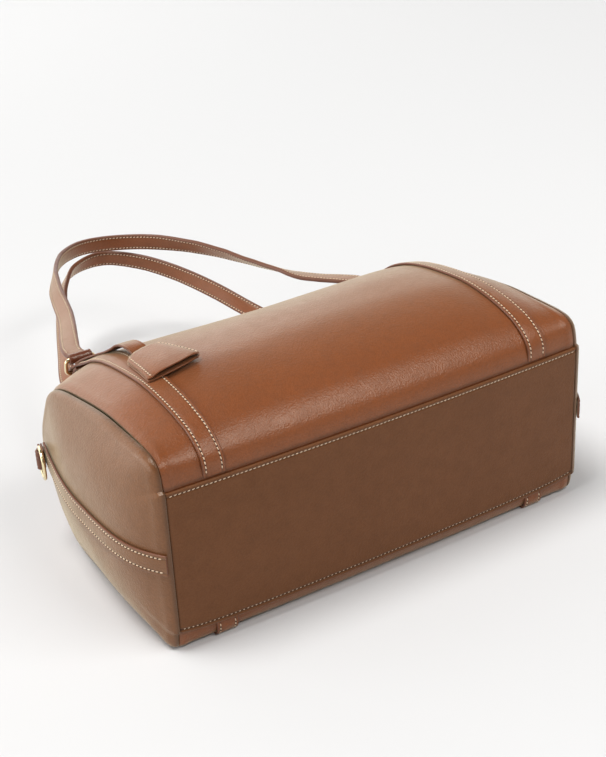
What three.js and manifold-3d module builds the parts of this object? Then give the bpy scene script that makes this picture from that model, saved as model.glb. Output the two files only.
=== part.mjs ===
// A leather boston bag that lies on its back face: two long handles, a key bell and two D-rings.
// Millimetres, +Z up. +X runs along the bag and +Y from its bottom panel to its zip. The origin is
// the centre of the flat stretch of leather that the bag rests on.

import * as THREE from 'three';
import Module from 'manifold-3d';

const wasm = await Module();
wasm.setup();

// Body
const bagLength = 300; // from one gusset seam to the other
const bagHeight = 182; // from the bottom panel to the zip
const bottomDepth = 93; // width of the bottom panel
const seamDepth = 135; // depth at the gusset seams, before the bag settles
const middleDepth = 160; // depth halfway along, before the bag settles
const restHeight = 63.5; // middle plane of the bag above the floor
const leather = 2; // wall of the body
const seamGap = 0.3; // between two sewn pieces
const lap = 6; // how far a face runs up behind the bottom panel
const endFullness = 6; // how soon a face swells away from the gusset seam
const shoulderSag = 3; // how far the shoulder sinks halfway along
const settleSpread = 1.6; // how much faster the pressed face swells at the bottom seam
const settleBlend = 6; // rounding where the pressed face leaves the floor
const gussetBulge = 16.5;
const gussetMiddle = 84; // fullest place of a gusset above the bottom panel
const gussetFullness = { bottom: 4.6, side: 3, top: 1.7 };

// Bands sewn round the body
const bandWidth = 14.5;
const bandThickness = 1.6;
const bandCentre = 117.3; // from the middle of the bag
const bandReturn = 14; // folded end of a band behind its ring

// Handle rings and the rolled ends of the handles
const ringWire = 2.6;
const ringInside = 17.4;
const ringBarSpan = 11; // between the middles of its two bars
const ringCorner = 1.8;
const barClearance = 0.35;
const keeperWidth = 16;
const keeperWall = 1.7;

// Handles
const strapWidth = 13;
const strapThickness = 3.2;
const strapEdge = 0.8; // rounding of the painted edges
const handleReach = 221; // from the rings to the top of the loop
const handleLead = 9; // how far a handle leaves its ring straight

// Gusset straps with their D-rings
const gussetStrapWidth = 14;
const gussetStrapThickness = 1.6;
const dRingPlace = 156; // from the bottom panel to the D-ring's bar
const dRingWire = 2.4;
const dRingInside = 17;
const dRingDepth = 15; // from the middle of its bar to the middle of its bow
const dRingCorner = 4;
const loopWidth = 13;
const loopWall = 1.4;
const loopTail = 9;

// Zip
const tapeWidth = 28;
const tapeThickness = 1;
const teethWidth = 5.4;
const teethHeight = 2.2;
const zipEndMargin = 4; // from the end of the tape to the gusset seam
const sliderPlace = 118; // from the middle of the bag
const sliderLength = 11;
const sliderWidth = 8;
const sliderHeight = 3.2;
const pullLength = 24;
const pullWidth = 6;
const pullThickness = 1.4;

// Key bell
const bellLength = 31;
const bellPlace = { x: -103.6, up: 91 };
const bellTurn = 14; // degrees
const bellLeather = 1.4;
const bellOpening = 3.2; // between the two layers at the middle of the mouth
const bellStrapWidth = 12;
const bellStrapThickness = 1.4;
const bellStrapTuck = 8; // end of the strap between the two layers

// Lines along a face, from the bottom seam to its fullest line. up is a share of bagHeight. seam and
// middle are shares of the swelling, at the gusset seams and halfway along.
const sideRows = [
  { up: 0.0138, seam: 0.035, middle: 0.02 },
  { up: 0.0176, seam: 0.28, middle: 0.14 },
  { up: 0.031, seam: 0.66, middle: 0.33 },
  { up: 0.055, seam: 0.84, middle: 0.48 },
  { up: 0.099, seam: 0.935, middle: 0.665 },
  { up: 0.165, seam: 0.98, middle: 0.81 },
  { up: 0.264, seam: 1, middle: 0.935 },
  { up: 0.395, seam: 0.965, middle: 1 },
];

// Lines from there over the shoulder to the zip. seamUp and middleUp are shares of bagHeight,
// seamOut and middleOut of half the depth there, and sag of shoulderSag.
const topRows = [
  { seamUp: 0.505, seamOut: 0.95, middleUp: 0.505, middleOut: 0.985, sag: 0 },
  { seamUp: 0.615, seamOut: 0.897, middleUp: 0.615, middleOut: 0.955, sag: 0.2 },
  { seamUp: 0.714, seamOut: 0.845, middleUp: 0.714, middleOut: 0.903, sag: 0.7 },
  { seamUp: 0.786, seamOut: 0.793, middleUp: 0.786, middleOut: 0.84, sag: 1 },
  { seamUp: 0.845, seamOut: 0.722, middleUp: 0.849, middleOut: 0.76, sag: 1 },
  { seamUp: 0.89, seamOut: 0.625, middleUp: 0.9, middleOut: 0.67, sag: 0.8 },
  { seamUp: 0.92, seamOut: 0.49, middleUp: 0.943, middleOut: 0.56, sag: 0.5 },
  { seamUp: 0.95, seamOut: 0.335, middleUp: 0.973, middleOut: 0.415, sag: 0.2 },
  { seamUp: 0.974, seamOut: 0.195, middleUp: 0.991, middleOut: 0.25, sag: 0 },
  { seamUp: 0.985, seamOut: 0.098, middleUp: 0.998, middleOut: 0.085, sag: 0 },
];

// Where each band leaves the body and how its ring stands. side is +1 at the right gusset, face is
// +1 on the upper face. up and out are the place of the ring's lower bar, as shares of bagHeight and
// of half the bottom panel. lean is the ring's slope in degrees, from lying flat to standing.
const tabs = [
  { name: 'front_left', side: -1, face: 1, up: 1.022, out: 0.817, lean: 100 },
  { name: 'front_right', side: 1, face: 1, up: 1.022, out: 0.77, lean: -18 },
  { name: 'back_left', side: -1, face: -1, up: 1.022, out: 0.77, lean: -34 },
  { name: 'back_right', side: 1, face: -1, up: 1.022, out: 0.77, lean: -34 },
];

// Routes of the two handles between their rings. across is a share of bandCentre, reach of
// handleReach, out of half the bottom panel. twist is 0 or -2 where a strap lies flat and -1 where it
// stands on edge.
const handleRoutes = {
  front: [
    { across: -0.8, reach: 0.341, out: 0.89, twist: -0.4 },
    { across: -0.663, reach: 0.593, out: 0.82, twist: -0.57 },
    { across: -0.508, reach: 0.794, out: 0.7, twist: -0.84 },
    { across: -0.314, reach: 0.965, out: 0.58, twist: -0.84 },
    { across: -0.1, reach: 1.045, out: 0.5, twist: -0.9 },
    { across: 0.116, reach: 1.038, out: 0.455, twist: -1 },
    { across: 0.343, reach: 0.962, out: 0.445, twist: -1 },
    { across: 0.531, reach: 0.832, out: 0.44, twist: -0.78 },
    { across: 0.643, reach: 0.695, out: 0.445, twist: -0.62 },
    { across: 0.713, reach: 0.556, out: 0.46, twist: -0.46 },
    { across: 0.783, reach: 0.423, out: 0.48, twist: -0.34 },
    { across: 0.845, reach: 0.295, out: 0.52, twist: -0.08 },
  ],
  back: [
    { across: -0.9, reach: 0.2, out: -0.5, twist: -0.1 },
    { across: -0.785, reach: 0.42, out: -0.31, twist: -0.3 },
    { across: -0.675, reach: 0.57, out: -0.2, twist: -0.45 },
    { across: -0.482, reach: 0.814, out: -0.05, twist: -0.55 },
    { across: -0.349, reach: 0.953, out: 0.04, twist: -0.6 },
    { across: -0.173, reach: 1.063, out: 0.1, twist: -0.7 },
    { across: 0.058, reach: 1.086, out: 0.12, twist: -0.88 },
    { across: 0.255, reach: 0.994, out: 0.08, twist: -1 },
    { across: 0.406, reach: 0.861, out: -0.01, twist: -1.1 },
    { across: 0.53, reach: 0.67, out: -0.13, twist: -1.3 },
    { across: 0.64, reach: 0.46, out: -0.3, twist: -1.5 },
    { across: 0.82, reach: 0.22, out: -0.5, twist: -1.85 },
  ],
};

// Outline of the key bell from its neck to its mouth. along is a share of bellLength and half of
// bandWidth.
const bellRows = [
  { along: 0, half: 0.86 },
  { along: 0.05, half: 0.97 },
  { along: 0.2, half: 1.08 },
  { along: 0.5, half: 1.22 },
  { along: 0.82, half: 1.4 },
  { along: 0.95, half: 1.43 },
  { along: 1, half: 1.34 },
];

// The bell's strap from its neck over the shoulder to the tab of the left front band. along is a
// share of the way to the ring, side of the strap's width, and lift of the width above the band.
const bellStrapRows = [
  { along: 0.08, side: 0, lift: 0.34 },
  { along: 0.18, side: 0, lift: 0.5 },
  { along: 0.3, side: 0.02, lift: 0.48 },
  { along: 0.42, side: 0.06, lift: 0.24 },
  { along: 0.55, side: 0.1, lift: 0.08 },
  { along: 0.75, side: 0.1, lift: 0.08 },
];

// Materials
const brownLeather = () => new THREE.MeshStandardMaterial({ color: 0x8a5233, roughness: 0.42, metalness: 0 });
const darkLeather = () => new THREE.MeshStandardMaterial({ color: 0x6b4630, roughness: 0.5, metalness: 0 });
const paleGold = () => new THREE.MeshStandardMaterial({ color: 0xd9c48f, roughness: 0.22, metalness: 1 });
const brownTape = () => new THREE.MeshStandardMaterial({ color: 0x4a3224, roughness: 0.85, metalness: 0 });

const V = (x, y, z) => new THREE.Vector3(x, y, z);
const seamHalf = bottomDepth / 2;
const endX = bagLength / 2 - seamGap / 2;
const bandLift = bandThickness + seamGap;
const mix = (a, b, t) => a + (b - a) * t;

function smooth(low, high, value) {
  const t = Math.min(1, Math.max(0, (value - low) / (high - low)));
  return t * t * (3 - 2 * t);
}

// Closed meshes

function solid(points, triangles) {
  const volume = triangles.reduce((sum, [a, b, c]) =>
    sum + points[a].dot(points[b].clone().cross(points[c])), 0);
  const outward = volume > 0 ? triangles : triangles.map(([a, b, c]) => [a, c, b]);
  const geometry = new THREE.BufferGeometry().setFromPoints(points);
  geometry.setIndex(outward.flat());
  return geometry;
}

// A sheet with a front and a back grid of points, closed round its four edges.
function sheet(front, back) {
  const rows = front.length;
  const columns = front[0].length;
  const points = [...front.flat(), ...back.flat()];
  const at = (layer, i, j) => layer * rows * columns + i * columns + j;
  const triangles = [];
  const quad = (a, b, c, d) => triangles.push([a, b, c], [a, c, d]);
  for (let i = 0; i + 1 < rows; i += 1) {
    for (let j = 0; j + 1 < columns; j += 1) {
      quad(at(0, i, j), at(0, i + 1, j), at(0, i + 1, j + 1), at(0, i, j + 1));
      quad(at(1, i, j), at(1, i, j + 1), at(1, i + 1, j + 1), at(1, i + 1, j));
    }
    quad(at(0, i, 0), at(1, i, 0), at(1, i + 1, 0), at(0, i + 1, 0));
    quad(at(0, i + 1, columns - 1), at(1, i + 1, columns - 1), at(1, i, columns - 1), at(0, i, columns - 1));
  }
  for (let j = 0; j + 1 < columns; j += 1) {
    quad(at(0, 0, j + 1), at(1, 0, j + 1), at(1, 0, j), at(0, 0, j));
    quad(at(0, rows - 1, j), at(1, rows - 1, j), at(1, rows - 1, j + 1), at(0, rows - 1, j + 1));
  }
  return solid(points, triangles);
}

// A bar through a list of sections with the same number of points, open with flat ends or a ring.
function bar(sections, isRing) {
  const sides = sections[0].length;
  const points = sections.flat();
  const triangles = [];
  const steps = isRing ? sections.length : sections.length - 1;
  for (let i = 0; i < steps; i += 1) {
    const here = i * sides;
    const next = ((i + 1) % sections.length) * sides;
    for (let j = 0; j < sides; j += 1) {
      const k = (j + 1) % sides;
      triangles.push([here + j, next + j, next + k], [here + j, next + k, here + k]);
    }
  }
  if (!isRing) {
    const [a, b, c] = [0, 1, 2].map((k) => sections[0][Math.floor((k * sides) / 3)]);
    const out = b.clone().sub(a).cross(c.clone().sub(a)).normalize();
    const right = b.clone().sub(a).normalize();
    const up = out.clone().cross(right);
    const flat = sections[0].map((p) => new THREE.Vector2(p.dot(right), p.dot(up)));
    const last = (sections.length - 1) * sides;
    for (const [p, q, r] of THREE.ShapeUtils.triangulateShape(flat, [])) {
      triangles.push([p, r, q], [last + p, last + q, last + r]);
    }
  }
  return orient(solid(points, triangles));
}

// Turns the caps of a bar the same way as its sides.
function orient(geometry) {
  const index = Array.from(geometry.index.array);
  const count = index.length / 3;
  const edges = new Map();
  const edgeKey = (a, b) => (a < b ? `${a}_${b}` : `${b}_${a}`);
  for (let t = 0; t < count; t += 1) {
    for (let e = 0; e < 3; e += 1) {
      const key = edgeKey(index[3 * t + e], index[3 * t + ((e + 1) % 3)]);
      edges.set(key, [...(edges.get(key) ?? []), t]);
    }
  }
  const hasEdge = (t, a, b) => [0, 1, 2].some((e) =>
    index[3 * t + e] === a && index[3 * t + ((e + 1) % 3)] === b);
  const seen = new Set([0]);
  const queue = [0];
  while (queue.length) {
    const t = queue.pop();
    for (let e = 0; e < 3; e += 1) {
      const a = index[3 * t + e];
      const b = index[3 * t + ((e + 1) % 3)];
      for (const other of edges.get(edgeKey(a, b))) {
        if (!seen.has(other)) {
          if (hasEdge(other, a, b)) {
            const [p, q] = [index[3 * other + 1], index[3 * other + 2]];
            index[3 * other + 1] = q;
            index[3 * other + 2] = p;
          }
          seen.add(other);
          queue.push(other);
        }
      }
    }
  }
  const position = geometry.getAttribute('position');
  const points = Array.from({ length: position.count }, (_, i) => V().fromBufferAttribute(position, i));
  const triangles = Array.from({ length: count }, (_, t) => index.slice(3 * t, 3 * t + 3));
  return solid(points, triangles);
}

const meshes = [];

function piece(name, geometry, material) {
  const mesh = new THREE.Mesh(geometry, material);
  mesh.name = name;
  meshes.push(mesh);
  return mesh;
}

// The stuffed body. A face is a set of lines along X, and faceLine gives where they cross one place
// along the bag, as distances up from the bottom panel and out from the middle plane.

function softMin(a, b, blend) {
  const near = Math.max(0, blend - Math.abs(a - b)) / blend;
  return Math.min(a, b) - (near * near * blend) / 4;
}

function settle(out, x) {
  if (out <= seamHalf) return out;
  const bandInside = bandCentre - bandWidth;
  const rest = restHeight - bandLift * smooth(bandInside - bandWidth, bandInside, Math.abs(x));
  return softMin(mix(seamHalf, out, settleSpread), rest, settleBlend);
}

function faceLine(x, face) {
  const along = Math.abs(x) / (bagLength / 2);
  const fill = 1 - along ** endFullness;
  const sinking = shoulderSag * Math.max(0, 1 - (x / bandCentre) ** 2);
  const behindBottom = leather + seamGap;
  const line = [
    { up: behindBottom, out: seamHalf - lap },
    { up: behindBottom, out: seamHalf - seamGap },
  ];
  for (const row of sideRows) {
    const swell = mix(row.seam * (seamDepth / 2 - seamHalf), row.middle * (middleDepth / 2 - seamHalf), fill);
    line.push({ up: row.up * bagHeight, out: seamHalf + swell });
  }
  for (const row of topRows) {
    const out = mix((row.seamOut * seamDepth) / 2, (row.middleOut * middleDepth) / 2, fill);
    line.push({ up: mix(row.seamUp, row.middleUp, fill) * bagHeight, out: out - row.sag * sinking });
  }
  return face > 0 ? line : line.map(({ up, out }) => ({ up, out: settle(out, x) }));
}

const lineCount = 2 + sideRows.length + topRows.length;

function facePoint(x, line, face) {
  const { up, out } = faceLine(x, face)[line];
  return V(x, up, restHeight + face * out);
}

function faceNormal(x, line, face) {
  const step = 0.5;
  const alongX = facePoint(x + step, line, face).sub(facePoint(x - step, line, face));
  const last = lineCount - 1;
  const upward = facePoint(x, Math.min(last, line + 1), face).sub(facePoint(x, Math.max(0, line - 1), face));
  return alongX.cross(upward).multiplyScalar(face).normalize();
}

// A point above the outside of a face, by a height along its normal.
function overFace(x, line, face, height) {
  return facePoint(x, line, face).addScaledVector(faceNormal(x, line, face), height);
}

const bandColumns = [-1, 0, 1].map((k) => bandCentre + (k * bandWidth) / 2);
const rightColumns = [
  bagLength * 0.12, bagLength * 0.235, bandCentre - 1.5 * bandWidth, ...bandColumns,
  mix(bandColumns[2], endX, 0.55), mix(bandColumns[2], endX, 0.86), endX,
];
const columns = [...rightColumns.map((x) => -x).reverse(), 0, ...rightColumns];
const faceNames = [['front', 1], ['back', -1]];

for (const [name, face] of faceNames) {
  const grid = (height) => Array.from({ length: lineCount }, (_, line) =>
    columns.map((x) => overFace(x, line, face, height)));
  piece(`${name}_panel`, sheet(grid(0), grid(-leather)), brownLeather());
}

// Bottom panel, lapped over both faces
const bottomPanel = piece('bottom_panel', new THREE.BoxGeometry(2 * endX, leather, bottomDepth), darkLeather());
bottomPanel.position.set(0, leather / 2, restHeight);

// Gussets: dishes on the outline of the body at its ends

const middleUp = mix(faceLine(bagLength / 2, 1)[lineCount - 1].up, bagHeight, 0.35);

function gussetOutline() {
  const bodyLine = (face) => faceLine(bagLength / 2, face).slice(2)
    .map(({ up, out }) => ({ up, out: face * out }));
  const halfBottom = (face) => [0.5, 1].map((share) => ({ up: 0, out: face * share * seamHalf }));
  return [
    { up: 0, out: 0 }, ...halfBottom(1), ...bodyLine(1), { up: middleUp, out: 0 },
    ...bodyLine(-1).reverse(), ...halfBottom(-1).reverse(),
  ];
}

const dishRings = [1, 0.965, 0.89, 0.77, 0.58, 0.36, 0.16];

function dishHeight(share, upShare) {
  const { bottom, side, top } = gussetFullness;
  const fullness = upShare < 0 ? mix(side, bottom, -upShare) : mix(side, top, upShare);
  return gussetBulge * (1 - share ** fullness);
}

function gusset(side) {
  const outline = gussetOutline();
  const inside = bagLength / 2 + seamGap / 2;
  const layer = (x) => [
    ...dishRings.flatMap((share) => outline.map(({ up, out }) => {
      const upShare = (up - gussetMiddle) / Math.hypot(up - gussetMiddle, out);
      const height = dishHeight(share, upShare);
      return V(side * (x + height), mix(gussetMiddle, up, share), restHeight + share * out);
    })),
    V(side * (x + gussetBulge), gussetMiddle, restHeight),
  ];
  const points = [...layer(inside + leather), ...layer(inside)];
  const count = outline.length;
  const layerSize = dishRings.length * count + 1;
  const triangles = [];
  for (let j = 0; j < count; j += 1) {
    const k = (j + 1) % count;
    for (const [start, turned] of [[0, false], [layerSize, true]]) {
      const add = (a, b, c) => triangles.push(turned ? [a, c, b] : [a, b, c]);
      for (let i = 0; i + 1 < dishRings.length; i += 1) {
        const here = start + i * count;
        const next = here + count;
        add(here + j, here + k, next + k);
        add(here + j, next + k, next + j);
      }
      const lastRing = start + (dishRings.length - 1) * count;
      add(lastRing + j, lastRing + k, start + layerSize - 1);
    }
    triangles.push([j, layerSize + j, layerSize + k], [j, layerSize + k, k]);
  }
  return solid(points, triangles);
}

const sideNames = [['left', -1], ['right', 1]];
for (const [name, side] of sideNames) piece(`gusset_${name}`, gusset(side), brownLeather());

// Bands: from the bottom panel over a face and its shoulder, then round a ring's lower bar

const tabLine = 2 + sideRows.length + 4; // the last line of the body that a band is sewn to
const loopRadius = ringWire / 2 + barClearance;
const foldAngles = [0, 1, 2, 3, 4, 5, 6, 7].map((k) => (k * Math.PI) / 6); // round a bar and a little back

function tabFrame(tab) {
  const bar = new THREE.Vector2(tab.up * bagHeight, tab.out * seamHalf);
  const leave = overFace(tab.side * bandCentre, tabLine, tab.face, seamGap);
  const from = new THREE.Vector2(leave.y, tab.face * (leave.z - restHeight));
  const along = bar.clone().sub(from).normalize();
  const out = new THREE.Vector2(-along.y, along.x);
  return { bar, along, out };
}

// Places of the band past the body, as distances up and out, for one surface of the leather.
function tabRoute(tab, depth) {
  const { bar, along, out } = tabFrame(tab);
  const place = (forward, outward) => bar.clone().addScaledVector(along, forward).addScaledVector(out, outward);
  const radius = loopRadius + depth;
  const returned = loopRadius - seamGap - depth;
  return [
    place(-bandReturn, radius),
    ...foldAngles.map((angle) => place(radius * Math.sin(angle), radius * Math.cos(angle))),
    place(-0.6 * bandReturn, returned),
    place(-bandReturn, returned),
  ];
}

function band(tab) {
  const layer = (depth) => {
    const xs = bandColumns.map((x) => tab.side * x);
    const onBody = Array.from({ length: tabLine - 1 }, (_, k) =>
      xs.map((x) => overFace(x, k + 2, tab.face, seamGap + depth)));
    const offBody = tabRoute(tab, depth).map((p) => xs.map((x) => V(x, p.x, restHeight + tab.face * p.y)));
    return [...onBody, ...offBody];
  };
  return sheet(layer(bandThickness), layer(0));
}

for (const tab of tabs) piece(`band_${tab.name}`, band(tab), brownLeather());

// Wire rings in one plane

const ringSides = 8;

// A closed wire through places in a plane, given by the directions across and along it.
function wireRing(places, centre, across, along, wire) {
  const normal = across.clone().cross(along);
  const at = ([a, b]) => centre.clone().addScaledVector(across, a).addScaledVector(along, b);
  const sections = places.map((place, i) => {
    const before = at(places[(i + places.length - 1) % places.length]);
    const after = at(places[(i + 1) % places.length]);
    const outward = after.sub(before).normalize().cross(normal);
    return Array.from({ length: ringSides }, (_, k) => {
      const angle = ((k + 0.5) * 2 * Math.PI) / ringSides;
      return at(place).addScaledVector(outward, (Math.cos(angle) * wire) / 2)
        .addScaledVector(normal, (Math.sin(angle) * wire) / 2);
    });
  });
  return bar(sections, true);
}

// Places round a rectangle with rounded corners, the first side from -low to +low.
function roundedPlaces(halfAcross, low, high, lowCorner, highCorner) {
  const corner = (sx, y, sy, radius, start) => [0, 1, 2, 3].map((k) => {
    const angle = start + (k * Math.PI) / 6;
    return [sx * (halfAcross - radius) + radius * Math.cos(angle), y - sy * radius + radius * Math.sin(angle)];
  });
  const quarter = Math.PI / 2;
  return [
    ...corner(1, high, 1, highCorner, 0),
    ...corner(-1, high, 1, highCorner, quarter),
    ...corner(-1, low, -1, lowCorner, 2 * quarter),
    ...corner(1, low, -1, lowCorner, 3 * quarter),
  ];
}

function ringFrame(tab) {
  const { bar: lower } = tabFrame(tab);
  const lean = THREE.MathUtils.degToRad(tab.lean);
  const along = V(0, Math.cos(lean), tab.face * Math.sin(lean));
  const centre = V(tab.side * bandCentre, lower.x, restHeight + tab.face * lower.y);
  return { centre, along, upper: centre.clone().addScaledVector(along, ringBarSpan) };
}

for (const tab of tabs) {
  const { centre, along } = ringFrame(tab);
  const half = (ringInside + ringWire) / 2;
  const places = roundedPlaces(half, 0, ringBarSpan, ringCorner, ringCorner);
  piece(`handle_ring_${tab.name}`, wireRing(places, centre, V(1, 0, 0), along, ringWire), paleGold());
}

// Rolled ends of the handles round the rings' upper bars

const keeperRadius = loopRadius + keeperWall;

for (const tab of tabs) {
  const { upper } = ringFrame(tab);
  const outline = new THREE.Shape().absarc(0, 0, keeperRadius, 0, 2 * Math.PI, false);
  outline.holes.push(new THREE.Path().absarc(0, 0, loopRadius, 0, 2 * Math.PI, true));
  const roll = new THREE.ExtrudeGeometry(outline, { depth: keeperWidth, bevelEnabled: false, curveSegments: 6 });
  roll.rotateY(Math.PI / 2);
  const keeper = piece(`handle_keeper_${tab.name}`, roll, darkLeather());
  keeper.position.set(upper.x - keeperWidth / 2, upper.y, upper.z);
}

// Handles: straps that leave the rings flat and stand on edge at the top of the loop

const handleSteps = 44;

function handle(route, leftTab, rightTab) {
  const ends = [leftTab, rightTab].map((tab) => ringFrame(tab).upper);
  const ringUp = bagHeight * tabs[1].up;
  const inner = route.map(({ across, reach, out }) =>
    V(across * bandCentre, ringUp + reach * handleReach, restHeight + out * seamHalf));
  const seat = keeperRadius + seamGap;
  const lead = (end, next) => {
    const way = V(0, next.y - end.y, next.z - end.z).normalize();
    return [seat, seat + handleLead].map((distance) => end.clone().addScaledVector(way, distance));
  };
  const last = inner[inner.length - 1];
  const places = [...lead(ends[0], inner[0]), ...inner, ...lead(ends[1], last).reverse()];
  const flatEnd = 2 * Math.round(route[route.length - 1].twist / 2);
  const twists = [0, 0, ...route.map((row) => row.twist), flatEnd, flatEnd];
  const curve = new THREE.CatmullRomCurve3(places, false, 'centripetal');
  const sections = Array.from({ length: handleSteps + 1 }, (_, i) => {
    const t = i / handleSteps;
    const place = t * (places.length - 1);
    const k = Math.min(places.length - 2, Math.floor(place));
    const twist = mix(twists[k], twists[k + 1], smooth(0, 1, place - k));
    const tangent = curve.getTangent(t);
    const edge = V(0, 0, 1).addScaledVector(tangent, -tangent.z).normalize();
    const flat = edge.clone().cross(tangent).normalize();
    const turn = (twist * Math.PI) / 2;
    const wide = flat.clone().multiplyScalar(Math.cos(turn)).addScaledVector(edge, Math.sin(turn));
    const thick = wide.clone().cross(tangent);
    const halfWide = strapWidth / 2;
    const halfThick = strapThickness / 2;
    const outline = [
      [halfWide, halfThick - strapEdge], [halfWide - strapEdge, halfThick],
      [strapEdge - halfWide, halfThick], [-halfWide, halfThick - strapEdge],
      [-halfWide, strapEdge - halfThick], [strapEdge - halfWide, -halfThick],
      [halfWide - strapEdge, -halfThick], [halfWide, strapEdge - halfThick],
    ];
    const centre = curve.getPoint(t);
    return outline.map(([w, h]) => centre.clone().addScaledVector(wide, w).addScaledVector(thick, h));
  });
  return bar(sections, false);
}

piece('handle_front', handle(handleRoutes.front, tabs[0], tabs[1]), brownLeather());
piece('handle_back', handle(handleRoutes.back, tabs[2], tabs[3]), brownLeather());

// Gusset straps, D-rings and the loops that hold them

const strapGap = 0.4; // under a gusset strap
const dLoopRadius = dRingWire / 2 + barClearance;
const strapEnd = dRingPlace + loopTail;

// Height of the gusset over its seam, on the middle line.
function gussetTop(up) {
  const reach = up < gussetMiddle ? gussetMiddle : middleUp - gussetMiddle;
  return bagLength / 2 + seamGap / 2 + leather
    + dishHeight(Math.abs(up - gussetMiddle) / reach, up < gussetMiddle ? -1 : 1);
}

function gussetStrap(side) {
  const lower = dishRings.map((share) => gussetMiddle * (1 - share));
  const upper = dishRings.map((share) => mix(gussetMiddle, middleUp, share)).reverse();
  const ups = [...lower, gussetMiddle, ...upper.filter((up) => up < strapEnd), strapEnd];
  const layer = (height) => ups.map((up) => [-1, 1].map((k) =>
    V(side * (gussetTop(up) + height), up, restHeight + (k * gussetStrapWidth) / 2)));
  return sheet(layer(strapGap + gussetStrapThickness), layer(strapGap));
}

function dRingFrame(side) {
  const slope = (gussetTop(strapEnd) - gussetTop(dRingPlace)) / loopTail;
  const down = V(-side * slope, -1, 0).normalize();
  const over = V(side, -slope, 0).normalize();
  const onStrap = V(side * (gussetTop(dRingPlace) + strapGap + gussetStrapThickness), dRingPlace, restHeight);
  return { down, over, centre: onStrap.addScaledVector(over, dLoopRadius + loopWall + seamGap) };
}

function dRing(side) {
  const { centre, down } = dRingFrame(side);
  const half = (dRingInside + dRingWire) / 2;
  const places = roundedPlaces(half, 0, dRingDepth, dRingCorner / 2, half - 1);
  return wireRing(places, centre, V(0, 0, 1), down, dRingWire);
}

// A strip of leather folded round the D-ring's bar, with its two ends sewn to the strap.
function dRingLoop(side) {
  const { centre, down, over } = dRingFrame(side);
  const route = (depth) => {
    const radius = dLoopRadius + depth;
    const place = (forward, outward) => centre.clone().addScaledVector(down, forward)
      .addScaledVector(over, outward);
    const returned = seamGap + depth - dLoopRadius;
    return [
      place(-loopTail, -radius),
      ...foldAngles.map((angle) => place(radius * Math.sin(angle), -radius * Math.cos(angle))),
      place(-0.7 * loopTail, returned),
      place(-loopTail, returned),
    ].map((p) => [-1, 1].map((k) => p.clone().addScaledVector(V(0, 0, 1), (k * loopWidth) / 2)));
  };
  return sheet(route(loopWall), route(0));
}

for (const [name, side] of sideNames) {
  piece(`gusset_strap_${name}`, gussetStrap(side), brownLeather());
  piece(`d_ring_${name}`, dRing(side), paleGold());
  piece(`d_ring_loop_${name}`, dRingLoop(side), darkLeather());
}

// Zip: one strip with its row of teeth, and one slider with its pull

function zipUp(x) {
  return faceLine(x, 1)[lineCount - 1].up;
}

function zipSection(x) {
  const top = zipUp(x) - leather - seamGap;
  const halfTape = tapeWidth / 2;
  const halfTeeth = teethWidth / 2;
  const drop = (out) => top - Math.max(0, out - teethWidth) * 0.22;
  const outline = [
    [halfTape, drop(halfTape)], [teethWidth, top], [halfTeeth, top], [halfTeeth, top + teethHeight],
    [-halfTeeth, top + teethHeight], [-halfTeeth, top], [-teethWidth, top], [-halfTape, drop(halfTape)],
    [-halfTape, drop(halfTape) - tapeThickness], [-teethWidth, top - tapeThickness],
    [teethWidth, top - tapeThickness], [halfTape, drop(halfTape) - tapeThickness],
  ];
  return outline.map(([out, up]) => V(x, up, restHeight + out));
}

const zipEnd = bagLength / 2 - zipEndMargin;
const zipStops = columns.filter((x) => Math.abs(x) < zipEnd);
piece('zip', bar([-zipEnd, ...zipStops, zipEnd].map(zipSection), false), brownTape());

function toSolid(geometry) {
  const position = geometry.getAttribute('position');
  const keys = new Map();
  const points = [];
  const triangles = [];
  for (let i = 0; i < position.count; i += 1) {
    const values = [position.getX(i), position.getY(i), position.getZ(i)];
    const key = values.map((value) => value.toFixed(4)).join(' ');
    if (!keys.has(key)) {
      keys.set(key, keys.size);
      points.push(...values);
    }
    triangles.push(keys.get(key));
  }
  return new wasm.Manifold(new wasm.Mesh({
    numProp: 3, vertProperties: new Float32Array(points), triVerts: new Uint32Array(triangles),
  }));
}

function fromSolid(manifold) {
  const { vertProperties, triVerts } = manifold.getMesh();
  const geometry = new THREE.BufferGeometry();
  geometry.setAttribute('position', new THREE.BufferAttribute(new Float32Array(vertProperties), 3));
  geometry.setIndex(Array.from(triVerts));
  return geometry;
}

function zipSlider() {
  const body = new THREE.BoxGeometry(sliderLength, sliderHeight, sliderWidth).toNonIndexed();
  const pull = new THREE.BoxGeometry(pullLength, pullThickness, pullWidth).toNonIndexed();
  pull.translate(-pullLength / 2, sliderHeight / 2, 0);
  return fromSolid(toSolid(body).add(toSolid(pull)));
}

const slider = piece('zip_slider', zipSlider(), paleGold());
slider.position.set(sliderPlace, zipUp(sliderPlace) - leather + teethHeight + sliderHeight / 2, restHeight);

// Key bell: two layers of leather, sewn at the sides and open at the mouth

const bellAcross = [-1, -0.92, -0.5, 0, 0.5, 0.92, 1];

// Height of the upper face above the floor at a place on it.
function faceHeight(x, up) {
  const line = faceLine(x, 1);
  const k = line.findIndex((point, i) => i > 1 && point.up > up);
  const share = (up - line[k - 1].up) / (line[k].up - line[k - 1].up);
  return restHeight + mix(line[k - 1].out, line[k].out, share);
}

function bellPoint(along, across, height) {
  const turn = THREE.MathUtils.degToRad(bellTurn);
  const forward = along - bellLength / 2;
  const x = bellPlace.x + Math.sin(turn) * forward + Math.cos(turn) * across;
  const up = bellPlace.up - Math.cos(turn) * forward + Math.sin(turn) * across;
  return V(x, up, faceHeight(x, up) + bandLift + seamGap + height);
}

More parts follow.
